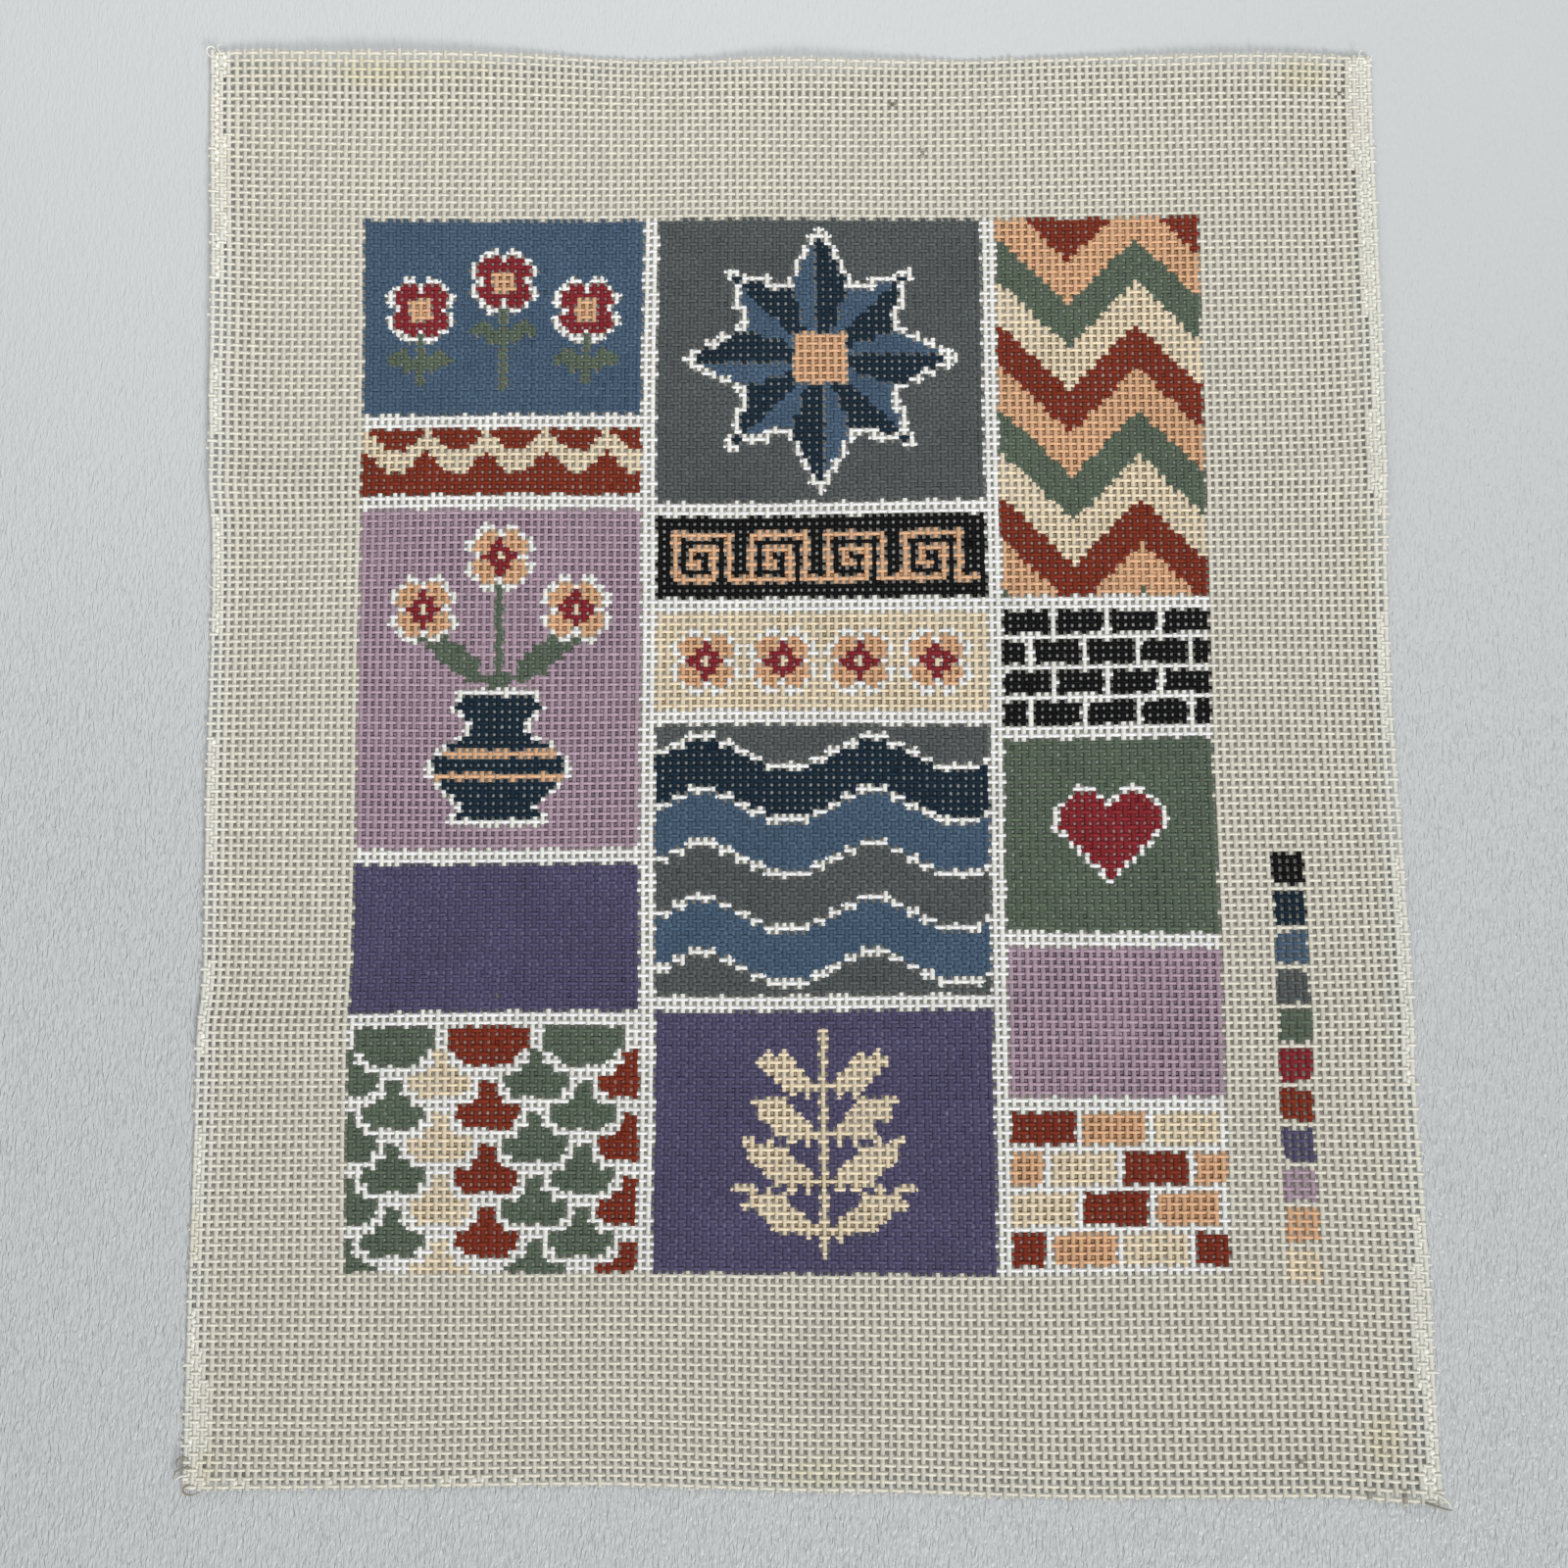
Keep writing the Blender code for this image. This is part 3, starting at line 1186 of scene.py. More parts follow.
    def build(self, lay: Lay, colouring: Colouring) -> bpy.types.Object:
        """Return the finished band, coloured and laid on the table.

        Args:
            lay: how the canvas lies.
            colouring: the chart and its colours.

        Returns:
            The band.
        """
        band = self.weave()
        mesh = band.data
        points = vertex_places(mesh)
        centres, downward = face_places(mesh)
        dye_faces(mesh, colouring.faces(centres[:, 0], centres[:, 1], self.along_rows))
        self.swell(points, colouring)
        self.fray(points)
        stray = lay.weft_stray if self.along_rows else lay.warp_stray
        axis = 1 if self.along_rows else 0
        numbers = np.round(points[:, axis]).astype(int)
        points[:, axis] += stray[numbers + (LAST_WEFT if self.along_rows else LAST_WARP) + 4]
        set_places(mesh, lay.place(points))
        lay_out_map(mesh, downward)
        mesh.shade_smooth()
        return band

    def swell(self, points: FloatArray, colouring: Colouring) -> None:
        """Make threads uneven in thickness, and thicker where paint coats them.

        Args:
            points: the band's vertices in threads, which are changed.
            colouring: the chart and its colours.
        """
        axis, other = (1, 0) if self.along_rows else (0, 1)
        thread = np.round(points[:, axis])
        place = np.round(points[:, other])
        paints = colouring.at(place, thread) if self.along_rows else colouring.at(thread, place)
        rng = np.random.default_rng(SEED + (3 if self.along_rows else 5) + self.first)
        count = self.last - self.first + 3
        slow = rng.normal(1.0, 0.05, count)
        phase, rate = rng.uniform(0.0, 6.28, (count, 2)), rng.uniform(0.10, 0.42, (count, 2))
        index = (thread - self.first).astype(int)
        slub = 1.0 + 0.05 * np.sin(rate[index, 0] * points[:, other] + phase[index, 0])
        slub += 0.04 * np.sin(2.3 * rate[index, 1] * points[:, other] + phase[index, 1])
        width = slow[index] * slub * colouring.bodies[paints]
        points[:, axis] = thread + (points[:, axis] - thread) * width

    def fray(self, points: FloatArray) -> None:
        """Make the cut ends ragged.

        Args:
            points: the band's vertices in threads, which are changed.
        """
        axis, other = (1, 0) if self.along_rows else (0, 1)
        rng = np.random.default_rng(SEED + 11 + self.first + 200 * self.along_rows)
        count = self.last - self.first + 3
        index = (np.round(points[:, axis]) - self.first).astype(int)
        for side in (-1.0, 1.0):
            length = rng.normal(0.0, self.ragged, count)
            length += 0.6 * self.ragged * np.sin(np.arange(count) * 0.31 + side)
            past = np.clip(side * points[:, other] - self.reach + 0.3, 0.0, None) / (self.stub + 0.3)
            points[:, other] += side * past * length[index]


def vertex_places(mesh: bpy.types.Mesh) -> FloatArray:
    """Return a mesh's vertices as rows of X, Y and Z.

    Args:
        mesh: the mesh.

    Returns:
        One row for each vertex.
    """
    flat = np.empty(3 * len(mesh.vertices), np.float32)
    mesh.vertices.foreach_get("co", flat)
    return flat.reshape(-1, 3).astype(float)


def set_places(mesh: bpy.types.Mesh, points: FloatArray) -> None:
    """Move a mesh's vertices."""
    mesh.vertices.foreach_set("co", points.astype(np.float32).ravel())
    mesh.update()


def face_places(mesh: bpy.types.Mesh) -> tuple[FloatArray, FloatArray]:
    """Return the middle of each face, and whether the face looks down.

    Args:
        mesh: the mesh.

    Returns:
        The middles and the answers, one for each face.
    """
    count = len(mesh.polygons)
    centres, normals = np.empty(3 * count, np.float32), np.empty(3 * count, np.float32)
    mesh.polygons.foreach_get("center", centres)
    mesh.polygons.foreach_get("normal", normals)
    return centres.reshape(-1, 3).astype(float), normals.reshape(-1, 3)[:, 2] < 0.0


def dye_faces(mesh: bpy.types.Mesh, colours: FloatArray) -> None:
    """Store a colour for each face, as the attribute that the finishes read.

    Args:
        mesh: the mesh.
        colours: one row of four values for each face.
    """
    totals = np.empty(len(mesh.polygons), np.int32)
    mesh.polygons.foreach_get("loop_total", totals)
    dye = mesh.color_attributes.new("dye", "FLOAT_COLOR", "CORNER")
    dye.data.foreach_set("color", np.repeat(colours, totals, axis=0).astype(np.float32).ravel())


def dye_corners(mesh: bpy.types.Mesh, colours: FloatArray) -> None:
    """Store a colour for each vertex, as the same attribute.

    Args:
        mesh: the mesh.
        colours: one row of four values for each vertex.
    """
    corners = np.empty(len(mesh.loops), np.int32)
    mesh.loops.foreach_get("vertex_index", corners)
    dye = mesh.color_attributes.new("dye", "FLOAT_COLOR", "CORNER")
    dye.data.foreach_set("color", colours[corners].astype(np.float32).ravel())


def lay_out_map(mesh: bpy.types.Mesh, downward: FloatArray) -> None:
    """Give a piece its own map, seen from above, with the faces that look down beside it.

    Args:
        mesh: the mesh.
        downward: for each face, whether it looks down.
    """
    totals = np.empty(len(mesh.polygons), np.int32)
    mesh.polygons.foreach_get("loop_total", totals)
    corners = np.empty(len(mesh.loops), np.int32)
    mesh.loops.foreach_get("vertex_index", corners)
    plan = vertex_places(mesh)[:, :2]
    low = plan.min(axis=0)
    size = max(plan.max(axis=0) - low)
    places = (plan[corners] - low) / size
    wide = float((plan[:, 0].max() - low[0]) / size)
    beside = np.repeat(downward, totals)
    if wide < 0.5:
        places[:, 0] += 0.5 * beside
    else:
        places *= 0.5
        places[:, 1] += 0.5 * beside
    layer = mesh.uv_layers.new(name="OFBake")
    layer.data.foreach_set("uv", places.astype(np.float32).ravel())


class Socket:
    """A node's output that takes part in plain arithmetic."""

    def __init__(self, graph: "Graph", output: bpy.types.NodeSocket) -> None:
        """Wrap one output."""
        self.graph, self.output = graph, output

    def math(self, operation: str, *others: "Socket | float") -> "Socket":
        """Return a Math node's result on this socket and others."""
        return self.graph.add("ShaderNodeMath", {"operation": operation}, self, *others)

    def __add__(self, other: "Socket | float") -> "Socket":
        """Return the sum."""
        return self.math("ADD", other)

    __radd__ = __add__

    def __mul__(self, other: "Socket | float") -> "Socket":
        """Return the product."""
        return self.math("MULTIPLY", other)

    __rmul__ = __mul__

    def __sub__(self, other: "Socket | float") -> "Socket":
        """Return the difference."""
        return self.math("SUBTRACT", other)

    def __rsub__(self, other: float) -> "Socket":
        """Return a number less this socket."""
        return self.graph.add("ShaderNodeMath", {"operation": "SUBTRACT"}, other, self)

    def __pow__(self, power: float) -> "Socket":
        """Return this socket raised to a power."""
        return self.math("POWER", power)


class Graph:
    """A material's node tree, built from expressions."""

    def __init__(self, name: str) -> None:
        """Make a material with one Principled node.

        Args:
            name: the material's name.
        """
        self.material = bpy.data.materials.new(name)
        self.material.use_nodes = True
        self.tree = self.material.node_tree
        self.shader = self.tree.nodes["Principled BSDF"]

    def add(self, kind: str, settings: dict[str, object], *inputs: object, output: int | str = 0,
            **named: object) -> Socket:
        """Add a node.

        Args:
            kind: the node's type.
            settings: its properties, set first.
            *inputs: values or links of its first sockets, in order.
            output: the number or name of the output to return.
            **named: values or links of sockets by name, with _ for a space.

        Returns:
            The asked output.
        """
        node = self.tree.nodes.new(kind)
        for key, value in settings.items():
            setattr(node, key, value)
        for index, value in enumerate(inputs):
            self.feed(node.inputs[index], value)
        for key, value in named.items():
            self.feed(node.inputs[key.replace("_", " ")], value)
        return Socket(self, node.outputs[output])

    def feed(self, socket: bpy.types.NodeSocket, value: object) -> None:
        """Link a socket, or set its value.

        Args:
            socket: a node's input.
            value: a Socket or a value.
        """
        if isinstance(value, Socket):
            self.tree.links.new(value.output, socket)
        else:
            socket.default_value = value

    def places(self, stretch: tuple[float, float, float]) -> Socket:
        """Return Object coordinates, scaled along each axis."""
        spot = self.add("ShaderNodeTexCoord", {}, output="Object")
        return self.add("ShaderNodeMapping", {}, spot, Scale=stretch)

    def noise(self, places: Socket, scale: float, detail: float = 2.0, distortion: float = 0.0) -> Socket:
        """Return a noise from 0 to 1."""
        return self.add(
            "ShaderNodeTexNoise", {}, Vector=places, Scale=scale, Detail=detail, Distortion=distortion)

    def ramp(self, value: Socket, low: float, high: float, start: float, end: float) -> Socket:
        """Return a smooth change from start to end as a value goes from low to high.

        Args:
            value: the value.
            low: where the change starts.
            high: where it ends.
            start: the result up to low.
            end: the result past high.

        Returns:
            The result.
        """
        smooth = {"interpolation_type": "SMOOTHSTEP"}
        return self.add("ShaderNodeMapRange", smooth, value, low, high, start, end)

    def mix(self, share: Socket, first: tuple[float, float, float],
            second: tuple[float, float, float]) -> Socket:
        """Return a colour that goes from the first to the second with the share.

        Args:
            share: from 0 to 1.
            first: the colour at 0.
            second: the colour at 1.

        Returns:
            The colour.
        """
        node = self.tree.nodes.new("ShaderNodeMix")
        node.data_type = "RGBA"
        self.feed(node.inputs[0], share)
        self.feed(node.inputs[6], (*first, 1.0))
        self.feed(node.inputs[7], (*second, 1.0))
        return Socket(self, node.outputs[2])

    def tint(self, colour: Socket, value: Socket) -> Socket:
        """Return a colour times a grey value."""
        return self.add("ShaderNodeVectorMath", {"operation": "SCALE"}, colour, Scale=value)

    def finish(self, colour: Socket, roughness: Socket, bump: Socket, height: float,
               specular: float = 0.5) -> None:
        """Feed the Principled node, with a bump of the given height in metres.

        Args:
            colour: the base colour.
            roughness: the roughness.
            bump: the relief, from 0 to 1.
            height: how high the relief is.
            specular: the Principled node's specular level.
        """
        self.feed(self.shader.inputs["Base Color"], colour)
        self.feed(self.shader.inputs["Roughness"], roughness)
        self.feed(self.shader.inputs["Specular IOR Level"], specular)
        relief = self.add("ShaderNodeBump", {}, Strength=1.0, Distance=height, Height=bump)
        self.feed(self.shader.inputs["Normal"], relief)


@dataclass(frozen=True)
class ThreadFinish:
    """Cotton thread stiffened with size, bare or painted, with its fibres along one axis."""
    name: str
    along_rows: bool
    bare_roughness: float = 0.72
    paint_roughness: float = 0.52
    fibre_height: float = 0.00006
    specular: float = 0.16

    def make(self) -> bpy.types.Material:
        """Return the material.

        Returns:
            The material.
        """
        graph = Graph(self.name)
        dye = graph.add("ShaderNodeVertexColor", {"layer_name": "dye"}, output="Color")
        cover = graph.add("ShaderNodeVertexColor", {"layer_name": "dye"}, output="Alpha")
        stretch = (0.22, 1.0, 1.0) if self.along_rows else (1.0, 0.22, 1.0)
        fibres = graph.noise(graph.places(stretch), 5200.0, detail=2.0)
        even = graph.places((1.0, 1.0, 1.0))
        wash = graph.noise(even, 70.0, detail=3.0)
        blot = graph.noise(even, 420.0, detail=2.0)
        grain = graph.noise(even, 3000.0, detail=1.0)
        painted = 0.74 + 0.34 * wash + 0.18 * blot
        plain = 0.90 + 0.20 * blot
        value = painted * cover + plain * (1.0 - cover)
        value = value * (0.86 + 0.28 * fibres)
        roughness = self.bare_roughness + (self.paint_roughness - self.bare_roughness) * cover
        roughness = roughness + 0.12 * (grain - 0.5)
        graph.finish(graph.tint(dye, value), roughness, fibres + 0.4 * grain, self.fibre_height, self.specular)
        return graph.material


@dataclass(frozen=True)
class FilmFinish:
    """Paint or glue that has dried across a hole of the weave."""
    name: str = "dried_paint_film"
    roughness: float = 0.48
    ripple_height: float = 0.00005
    specular: float = 0.25

    def make(self) -> bpy.types.Material:
        """Return the material.

        Returns:
            The material.
        """
        graph = Graph(self.name)
        dye = graph.add("ShaderNodeVertexColor", {"layer_name": "dye"}, output="Color")
        even = graph.places((1.0, 1.0, 1.0))
        wash = graph.noise(even, 70.0, detail=3.0)
        ripple = graph.noise(even, 2400.0, detail=2.0)
        value = (0.80 + 0.40 * wash) * (0.90 + 0.20 * ripple)
        roughness = self.roughness + 0.1 * (ripple - 0.5)
        graph.finish(graph.tint(dye, value), roughness, ripple, self.ripple_height, self.specular)
        return graph.material


@dataclass(frozen=True)
class TableFinish:
    """A pale table top with a fine leathery grain, painted warmer under the canvas as painted bounce light.

    Attributes:
        worn: the two places on Y between which the grain fades out.
        shaded_box: half the width and length of the table under the canvas.
        bounce: how the light that the ivory threads scatter tints the table under them.
    """
    name: str = "pale_table"
    worn: tuple[float, float] = (-0.04, 0.17)
    shaded_box: tuple[float, float] = (0.150, 0.182)
    bounce: tuple[float, float, float] = (1.10, 1.04, 0.93)
    colour: tuple[float, float, float] = linear(196, 199, 200)
    grain_height: float = 0.0007
    roughness: float = 0.45

    def make(self) -> bpy.types.Material:
        """Return the material, with its grain worn smooth towards the back.

        Returns:
            The material.
        """
        graph = Graph(self.name)
        even = graph.places((1.0, 1.0, 1.0))
        x, y = (graph.add("ShaderNodeSeparateXYZ", {}, even, output=axis) for axis in "XY")
        near = graph.ramp(y, *self.worn, 1.0, 0.25)
        grain = graph.noise(graph.places((1.0, 0.28, 1.0)), 1450.0, detail=1.0, distortion=0.8)
        grain = 0.5 + (grain - 0.5) * near
        cloud = graph.noise(even, 9.0, detail=2.0)
        under = [
            graph.ramp(place.math("ABSOLUTE"), edge - 0.008, edge, 1.0, 0.0)
            for place, edge in zip((x, y), self.shaded_box)]
        # Painted bounce light: the table under the canvas is painted warmer, lighter in red and darker in blue.
        lit = tuple(value * bounce for value, bounce in zip(self.colour, self.bounce))
        base = graph.mix(under[0] * under[1], self.colour, lit)
        value = (0.97 + 0.06 * cloud) * (0.985 + 0.03 * grain)
        roughness = self.roughness + 0.1 * (grain - 0.5)
        graph.finish(graph.tint(base, value), roughness, grain, self.grain_height)
        return graph.material


@dataclass
class HoleFilms:
    """The paint and the size that have dried across the holes of the weave.

    Attributes:
        lay: how the canvas lies.
        colouring: the chart and its colours.
        name: the finished piece's name.
        half_x: half the width of a film, in threads.
        half_y: half its length, in threads.
        side_band: how many columns of holes the size closes beside each side edge, about.
    """
    lay: Lay
    colouring: Colouring
    name: str = "paint_in_holes"
    half_x: float = 0.34
    half_y: float = 0.36
    side_band: float = 0.55

    def __post_init__(self) -> None:
        """Start the seeded draws."""
        self.rng = np.random.default_rng(SEED + 21)

    def model_pillow(self) -> bpy.types.Object:
        """Return a thin closed pillow of four corners with a raised and a sunk middle.

        Returns:
            The pillow, in threads.
        """
        deselect_all()
        bpy.ops.mesh.primitive_cone_add(
            vertices=4, radius1=1.0, depth=0.04, end_fill_type="TRIFAN", rotation=(0.0, 0.0, math.pi / 4.0))
        pillow = bpy.context.object
        bpy.ops.object.transform_apply(location=True, rotation=True, scale=True)
        span = max(abs(vertex.co.x) for vertex in pillow.data.vertices)
        pillow.data.transform(Matrix.Diagonal((self.half_x / span, self.half_y / span, 1.0, 1.0)))
        return pillow

    def holes(self) -> tuple[FloatArray, FloatArray, FloatArray]:
        """Return the column, row and paint of every hole, with no paint where its corners differ.

        Returns:
            The columns, the rows and the numbers of the paints.
        """
        columns, rows = np.meshgrid(
            np.arange(-LAST_WARP, LAST_WARP) + 0.5, np.arange(-LAST_WEFT, LAST_WEFT) + 0.5)
        columns, rows = columns.ravel(), rows.ravel()
        corners = np.stack([
            self.colouring.at(columns + side, rows + end) for side in (-0.5, 0.5) for end in (-0.5, 0.5)])
        counts = np.stack([(corners == paint.value).sum(axis=0) for paint in Paint])
        best = counts.argmax(axis=0)
        return columns, rows, np.where(counts.max(axis=0) >= 3, best, Paint.BARE.value)

    def sized(self, columns: FloatArray, rows: FloatArray, patch: FloatArray, draw: FloatArray) -> FloatArray:
        """Return which bare holes the size closes: beside the side edges and in the lower left corner.

        Args:
            columns: the holes' columns.
            rows: their rows.
            patch: a slow wave over the cloth.
            draw: a random draw for each hole.

        Returns:
            True for each hole that is closed.
        """
        corner = smooth_step((np.abs(rows) - 58.0) / 26.0)
        band = self.side_band + 0.5 * patch + 1.5 * corner + 0.8 * ((columns > 0.0) & (rows > 30.0))
        beside = np.abs(columns) > LAST_WARP - np.clip(band, 0.4, 2.9)
        below = (rows < 0.8 - LAST_WEFT) & (draw > 2.2 + 0.02 * columns)
        return beside | below | (np.hypot(columns + LAST_WARP, rows + LAST_WEFT) < 3.4)

    def build(self) -> bpy.types.Object:
        """Return the films as one joined piece, laid with the weave.

        Returns:
            The films.
        """
        columns, rows, paints = self.holes()
        patch = self.lay.wander(columns * 2.3, rows * 2.3)[0] / self.lay.drift
        noise = self.rng.normal(0.0, 1.0, (3, len(columns)))
        share, sunk, thin = (
            np.array([getattr(COATS[paint], key) for paint in Paint])[paints]
            for key in ("film", "sunk", "thin"))
        bare = paints == Paint.BARE.value
        sized = bare & self.sized(columns, rows, patch, noise[0])
        in_block = columns < DESIGN_LEFT + DESIGN_COLUMNS
        closed = sized | (~bare & in_block & (share + 0.17 * patch + 0.11 * noise[0] > 0.5))
        sunk = np.clip(np.where(bare, 0.12, sunk) + 0.08 * patch + 0.09 * noise[1], 0.0, 1.0)
        thin = np.clip(thin * (1.0 + 0.25 * patch + 0.35 * noise[2]), 0.0, 0.8)[:, None]
        colour = np.where(sized[:, None], EDGE_SIZE, self.colouring.palette[paints])
        # Painted shade: films are painted darker the deeper they sink into their holes.
        rim = colour * ((1.0 - 0.50 * sunk) * (1.0 + 0.05 * noise[2]))[:, None]
        # Painted shade: the middle of a film is painted toward the grey of the shaded table seen through an open
        # hole.
        middle = rim * (1.0 - thin) + SHADED_TABLE_GREY * thin
        middle, rim = (self.colouring.soiled(value, columns, rows) for value in (middle, rim))

        pillow = self.model_pillow()
        base = vertex_places(pillow.data)
        faces = [tuple(face.vertices) for face in pillow.data.polygons]
        bpy.data.objects.remove(pillow, do_unlink=True)
        columns, rows, sunk, middle, rim = (value[closed] for value in (columns, rows, sunk, middle, rim))
        centre = (np.abs(base[:, 0]) < 0.05)[None, :]
        points = np.tile(base, (len(columns), 1, 1))
        points[:, :, :2] *= (1.30 - 0.30 * smooth_step(2.0 * sunk))[:, None, None]
        points[:, :, 0] += columns[:, None]
        points[:, :, 1] += rows[:, None]
        points[:, :, 2] += np.where(centre, (0.11 - 0.28 * sunk)[:, None], (0.08 - 0.14 * sunk)[:, None])
        points = points.reshape(-1, 3)
        dyes = np.where(centre[:, :, None], middle[:, None, :], rim[:, None, :]).reshape(-1, 3)
        dyes = np.concatenate([np.clip(dyes, 0.0, 0.95), np.ones((len(dyes), 1))], axis=1)

        mesh = bpy.data.meshes.new(self.name)
        mesh.from_pydata(points.tolist(), [], [
            tuple(corner + index * len(base) for corner in face)
            for index in range(len(columns)) for face in faces])
        downward = face_places(mesh)[1]
        dye_corners(mesh, dyes)
        set_places(mesh, self.lay.place(points))
        lay_out_map(mesh, downward)
        mesh.shade_smooth()
        films = bpy.data.objects.new(self.name, mesh)
        bpy.context.scene.collection.objects.link(films)
        LOG.info("%s: %d films", self.name, len(columns))
        return films


@dataclass(frozen=True)
class Strand:
    """A loose end of thread: its route in threads as column, row and rise, its radius and colour."""
    route: tuple[tuple[float, float, float], ...]
    radius: float = 0.07
    colour: tuple[float, float, float] = linear(236, 234, 222)


DUSTY = linear(150, 142, 130)
STRANDS = (
    Strand((
        (-77.0, 93.4, 0.1), (-77.6, 93.9, 0.3), (-77.5, 94.6, 0.4), (-76.9, 94.7, 0.3), (-76.6, 94.2, 0.1)), 0.10),
    Strand(((-76.0, 93.9, 0.1), (-76.3, 94.8, 0.3), (-75.8, 95.0, 0.2)), 0.08),
    Strand(((-76.6, -90.6, 0.0), (-77.5, -90.4, 0.3), (-78.0, -90.9, 0.4), (-78.0, -91.6, 0.2)), 0.13, DUSTY),
    Strand(((-76.4, -91.6, 0.1), (-77.5, -91.8, 0.4), (-78.1, -92.2, 0.3), (-78.4, -93.0, 0.1)), 0.13, DUSTY),
    Strand(((-76.6, -92.6, 0.1), (-77.7, -92.8, 0.3), (-78.2, -93.4, 0.1)), 0.13),
    Strand(((-76.2, -93.6, 0.1), (-77.0, -94.3, 0.2), (-76.2, -94.9, 0.1), (-74.9, -94.6, 0.0)), 0.12, DUSTY),
    Strand(((75.6, 94.0, 0.1), (75.9, 94.9, 0.3), (76.3, 95.1, 0.2)), 0.08),
    Strand(((76.8, 93.4, 0.1), (77.4, 94.1, 0.3), (77.5, 94.6, 0.2)), 0.08),
    Strand(((76.6, -93.2, 0.1), (77.3, -93.6, 0.3), (77.8, -94.1, 0.3), (78.2, -94.8, 0.1)), 0.15),
    Strand(((75.2, -94.2, 0.1), (76.4, -94.5, 0.2), (77.4, -94.8, 0.2), (78.3, -95.0, 0.1)), 0.12, DUSTY),
    Strand(((77.0, -52.2, 0.1), (77.7, -52.5, 0.2), (77.9, -53.1, 0.1)), 0.08),
    Strand(((-77.0, 21.2, 0.1), (-77.7, 21.5, 0.2), (-77.9, 22.2, 0.1)), 0.08),
)


@dataclass
class LooseFibres:
    """The few threads that have come loose at the corners and sides."""
    lay: Lay
    name: str = "loose_fibres"
    strands: tuple[Strand, ...] = STRANDS

    def model_strand(self, strand: Strand) -> bpy.types.Object:
        """Return one strand as a tapered tube of four sides along a smooth curve.

        Args:
            strand: the strand.

        Returns:
            The tube, in threads.
        """
        data = bpy.data.curves.new("strand", "CURVE")
        data.dimensions = "3D"
        data.resolution_u = 4
        data.bevel_depth = strand.radius
        data.bevel_resolution = 0
        data.use_fill_caps = True
        spline = data.splines.new("BEZIER")
        spline.bezier_points.add(len(strand.route) - 1)
        for point, place in zip(spline.bezier_points, strand.route):
            point.co = place
            point.handle_left_type = point.handle_right_type = "AUTO"
        spline.bezier_points[-1].radius = 0.4
        item = bpy.data.objects.new("strand", data)
        bpy.context.scene.collection.objects.link(item)
        make_active(item)
        bpy.ops.object.convert(target="MESH")
        tube = bpy.context.object
        count = len(tube.data.polygons)
        dye_faces(tube.data, np.tile((*strand.colour, 0.0), (count, 1)))
        return tube

    def build(self) -> bpy.types.Object:
        """Return the strands as one piece.

        Returns:
            The piece.
        """
        tubes = [self.model_strand(strand) for strand in self.strands]
        deselect_all()
        for tube in tubes:
            tube.select_set(True)
        bpy.context.view_layer.objects.active = tubes[0]
        bpy.ops.object.join()
        fibres = bpy.context.object
        fibres.name = fibres.data.name = self.name
        points = vertex_places(fibres.data)
        downward = face_places(fibres.data)[1]
        set_places(fibres.data, self.lay.place(points))
        lay_out_map(fibres.data, downward)
        fibres.data.shade_smooth()
        return fibres


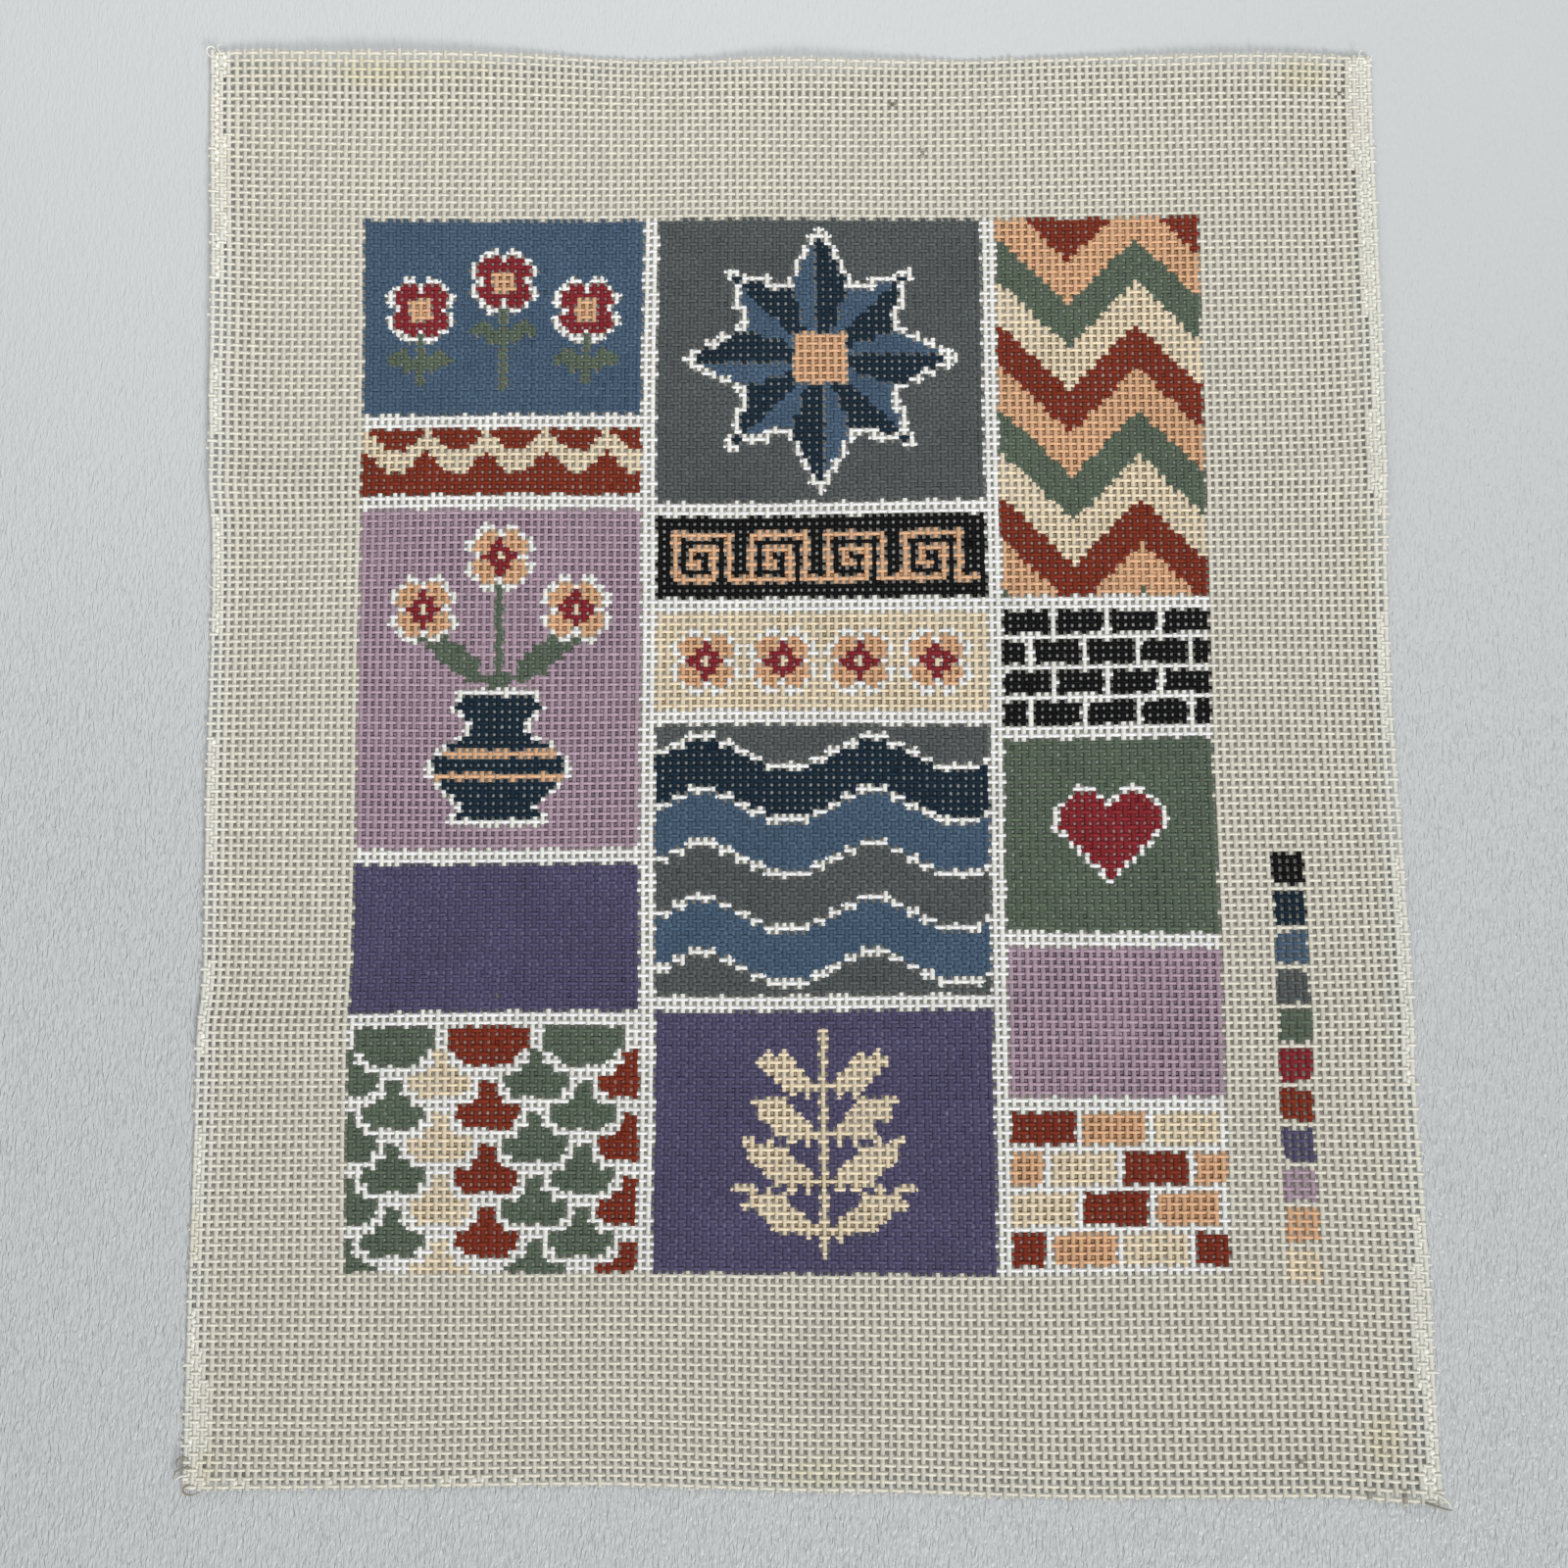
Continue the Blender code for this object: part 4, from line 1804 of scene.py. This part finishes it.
@dataclass
class Studio:
    """The pale table, the soft lights and the camera, at the photograph's viewing angle."""
    table_size: float = 3.0
    air_gap: float = 0.30 * MM
    lens: float = 38.925
    sensor: float = 36.0
    camera_place: tuple[float, float, float] = (0.00178, -0.05647, 0.42476)
    camera_right: tuple[float, float, float] = (0.9999, -0.0030, -0.0117)
    camera_up: tuple[float, float, float] = (0.0042, 0.9942, 0.1071)
    room_colour: tuple[float, float, float, float] = (0.97, 0.985, 1.0, 1.0)
    room_strength: float = 0.36

    def build(self) -> None:
        """Build the whole studio."""
        self.build_table()
        self.build_camera()
        self.build_lights()
        view = bpy.context.scene.view_settings
        view.view_transform = "Standard"
        view.look = "None"

    def build_table(self) -> None:
        """Lay the table top."""
        deselect_all()
        bpy.ops.mesh.primitive_plane_add(size=self.table_size, location=(0.0, 0.0, -self.air_gap))
        table = bpy.context.object
        bpy.ops.object.transform_apply(location=True, rotation=True, scale=True)
        table.name = "table"
        table.data.materials.append(TableFinish().make())

    def build_camera(self) -> None:
        """Place the camera that looks almost straight down."""
        data = bpy.data.cameras.new("camera")
        data.lens = self.lens
        data.sensor_width = self.sensor
        camera = bpy.data.objects.new("camera", data)
        bpy.context.scene.collection.objects.link(camera)
        right, up = Vector(self.camera_right).normalized(), Vector(self.camera_up).normalized()
        back = right.cross(up).normalized()
        up = back.cross(right)
        turn = Matrix((right, up, back)).transposed().to_4x4()
        camera.matrix_world = Matrix.Translation(self.camera_place) @ turn
        bpy.context.scene.camera = camera

    def build_lights(self) -> None:
        """Light the canvas from a soft panel over its top end and from a far window at its lower right."""
        world = bpy.data.worlds.new("room")
        world.use_nodes = True
        backdrop = world.node_tree.nodes["Background"]
        backdrop.inputs["Color"].default_value = self.room_colour
        backdrop.inputs["Strength"].default_value = self.room_strength
        bpy.context.scene.world = world
        self.add_light("soft_panel", (-0.05, 0.45, 0.58), 0.75, 2.9)
        self.add_light("window", (3.0, -5.7, 4.5), 2.4, 440.0)

    @staticmethod
    def add_light(name: str, place: tuple[float, float, float], size: float, power: float) -> None:
        """Add a square soft light aimed at the canvas.

        Args:
            name: the light's name.
            place: its place.
            size: its side in metres.
            power: its power in watts.
        """
        data = bpy.data.lights.new(name, "AREA")
        data.size = size
        data.energy = power
        light = bpy.data.objects.new(name, data)
        light.location = place
        light.rotation_euler = Vector(place).to_track_quat("Z", "Y").to_euler()
        bpy.context.scene.collection.objects.link(light)


@dataclass
class CanvasPanel:
    """The whole canvas: its warps, its wefts, the paint between them and its loose fibres.

    Attributes:
        colouring: the chart and its colours.
        lay: how the canvas lies.
        groups: its bands of threads.
    """
    colouring: Colouring
    lay: Lay
    groups: tuple[ThreadGroup, ...] = (
        ThreadGroup("warps_left", WARP, False, -77, -26),
        ThreadGroup("warps_middle", WARP, False, -25, 26),
        ThreadGroup("warps_right", WARP, False, 27, 77),
        ThreadGroup("wefts_bottom", WEFT, True, -94, -32),
        ThreadGroup("wefts_middle", WEFT, True, -31, 31),
        ThreadGroup("wefts_top", WEFT, True, 32, 94),
    )

    def build(self) -> None:
        """Build every piece and attach it to the body."""
        finishes = [ThreadFinish("warp_thread", False).make(), ThreadFinish("weft_thread", True).make()]
        pieces = []
        for group in self.groups:
            band = group.build(self.lay, self.colouring)
            band.data.materials.append(finishes[group.along_rows])
            self.declare_band(band, group)
            pieces.append(band)
        films = HoleFilms(self.lay, self.colouring).build()
        films.data.materials.append(FilmFinish().make())
        fibres = LooseFibres(self.lay).build()
        fibres.data.materials.append(ThreadFinish("loose_thread", True).make())
        pieces += [films, fibres]
        for piece in pieces:
            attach(piece, BODY)
            triangles = sum(len(face.vertices) - 2 for face in piece.data.polygons)
            LOG.info("%s: %d triangles", piece.name, triangles)
        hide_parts(CANVAS_NODE)

    @staticmethod
    def declare_band(band: bpy.types.Object, group: ThreadGroup) -> None:
        """Take a finished band of threads and leave it as it is.

        Args:
            band: the finished band; not used.
            group: what it was built from; not used.
        """


def main() -> None:
    """Build the panel and the studio."""
    logging.basicConfig(level=logging.INFO, format="%(name)s: %(message)s")
    Studio().build()
    CanvasPanel(Colouring(Design().draw()), Lay()).build()


if __name__ == "__main__":
    main()
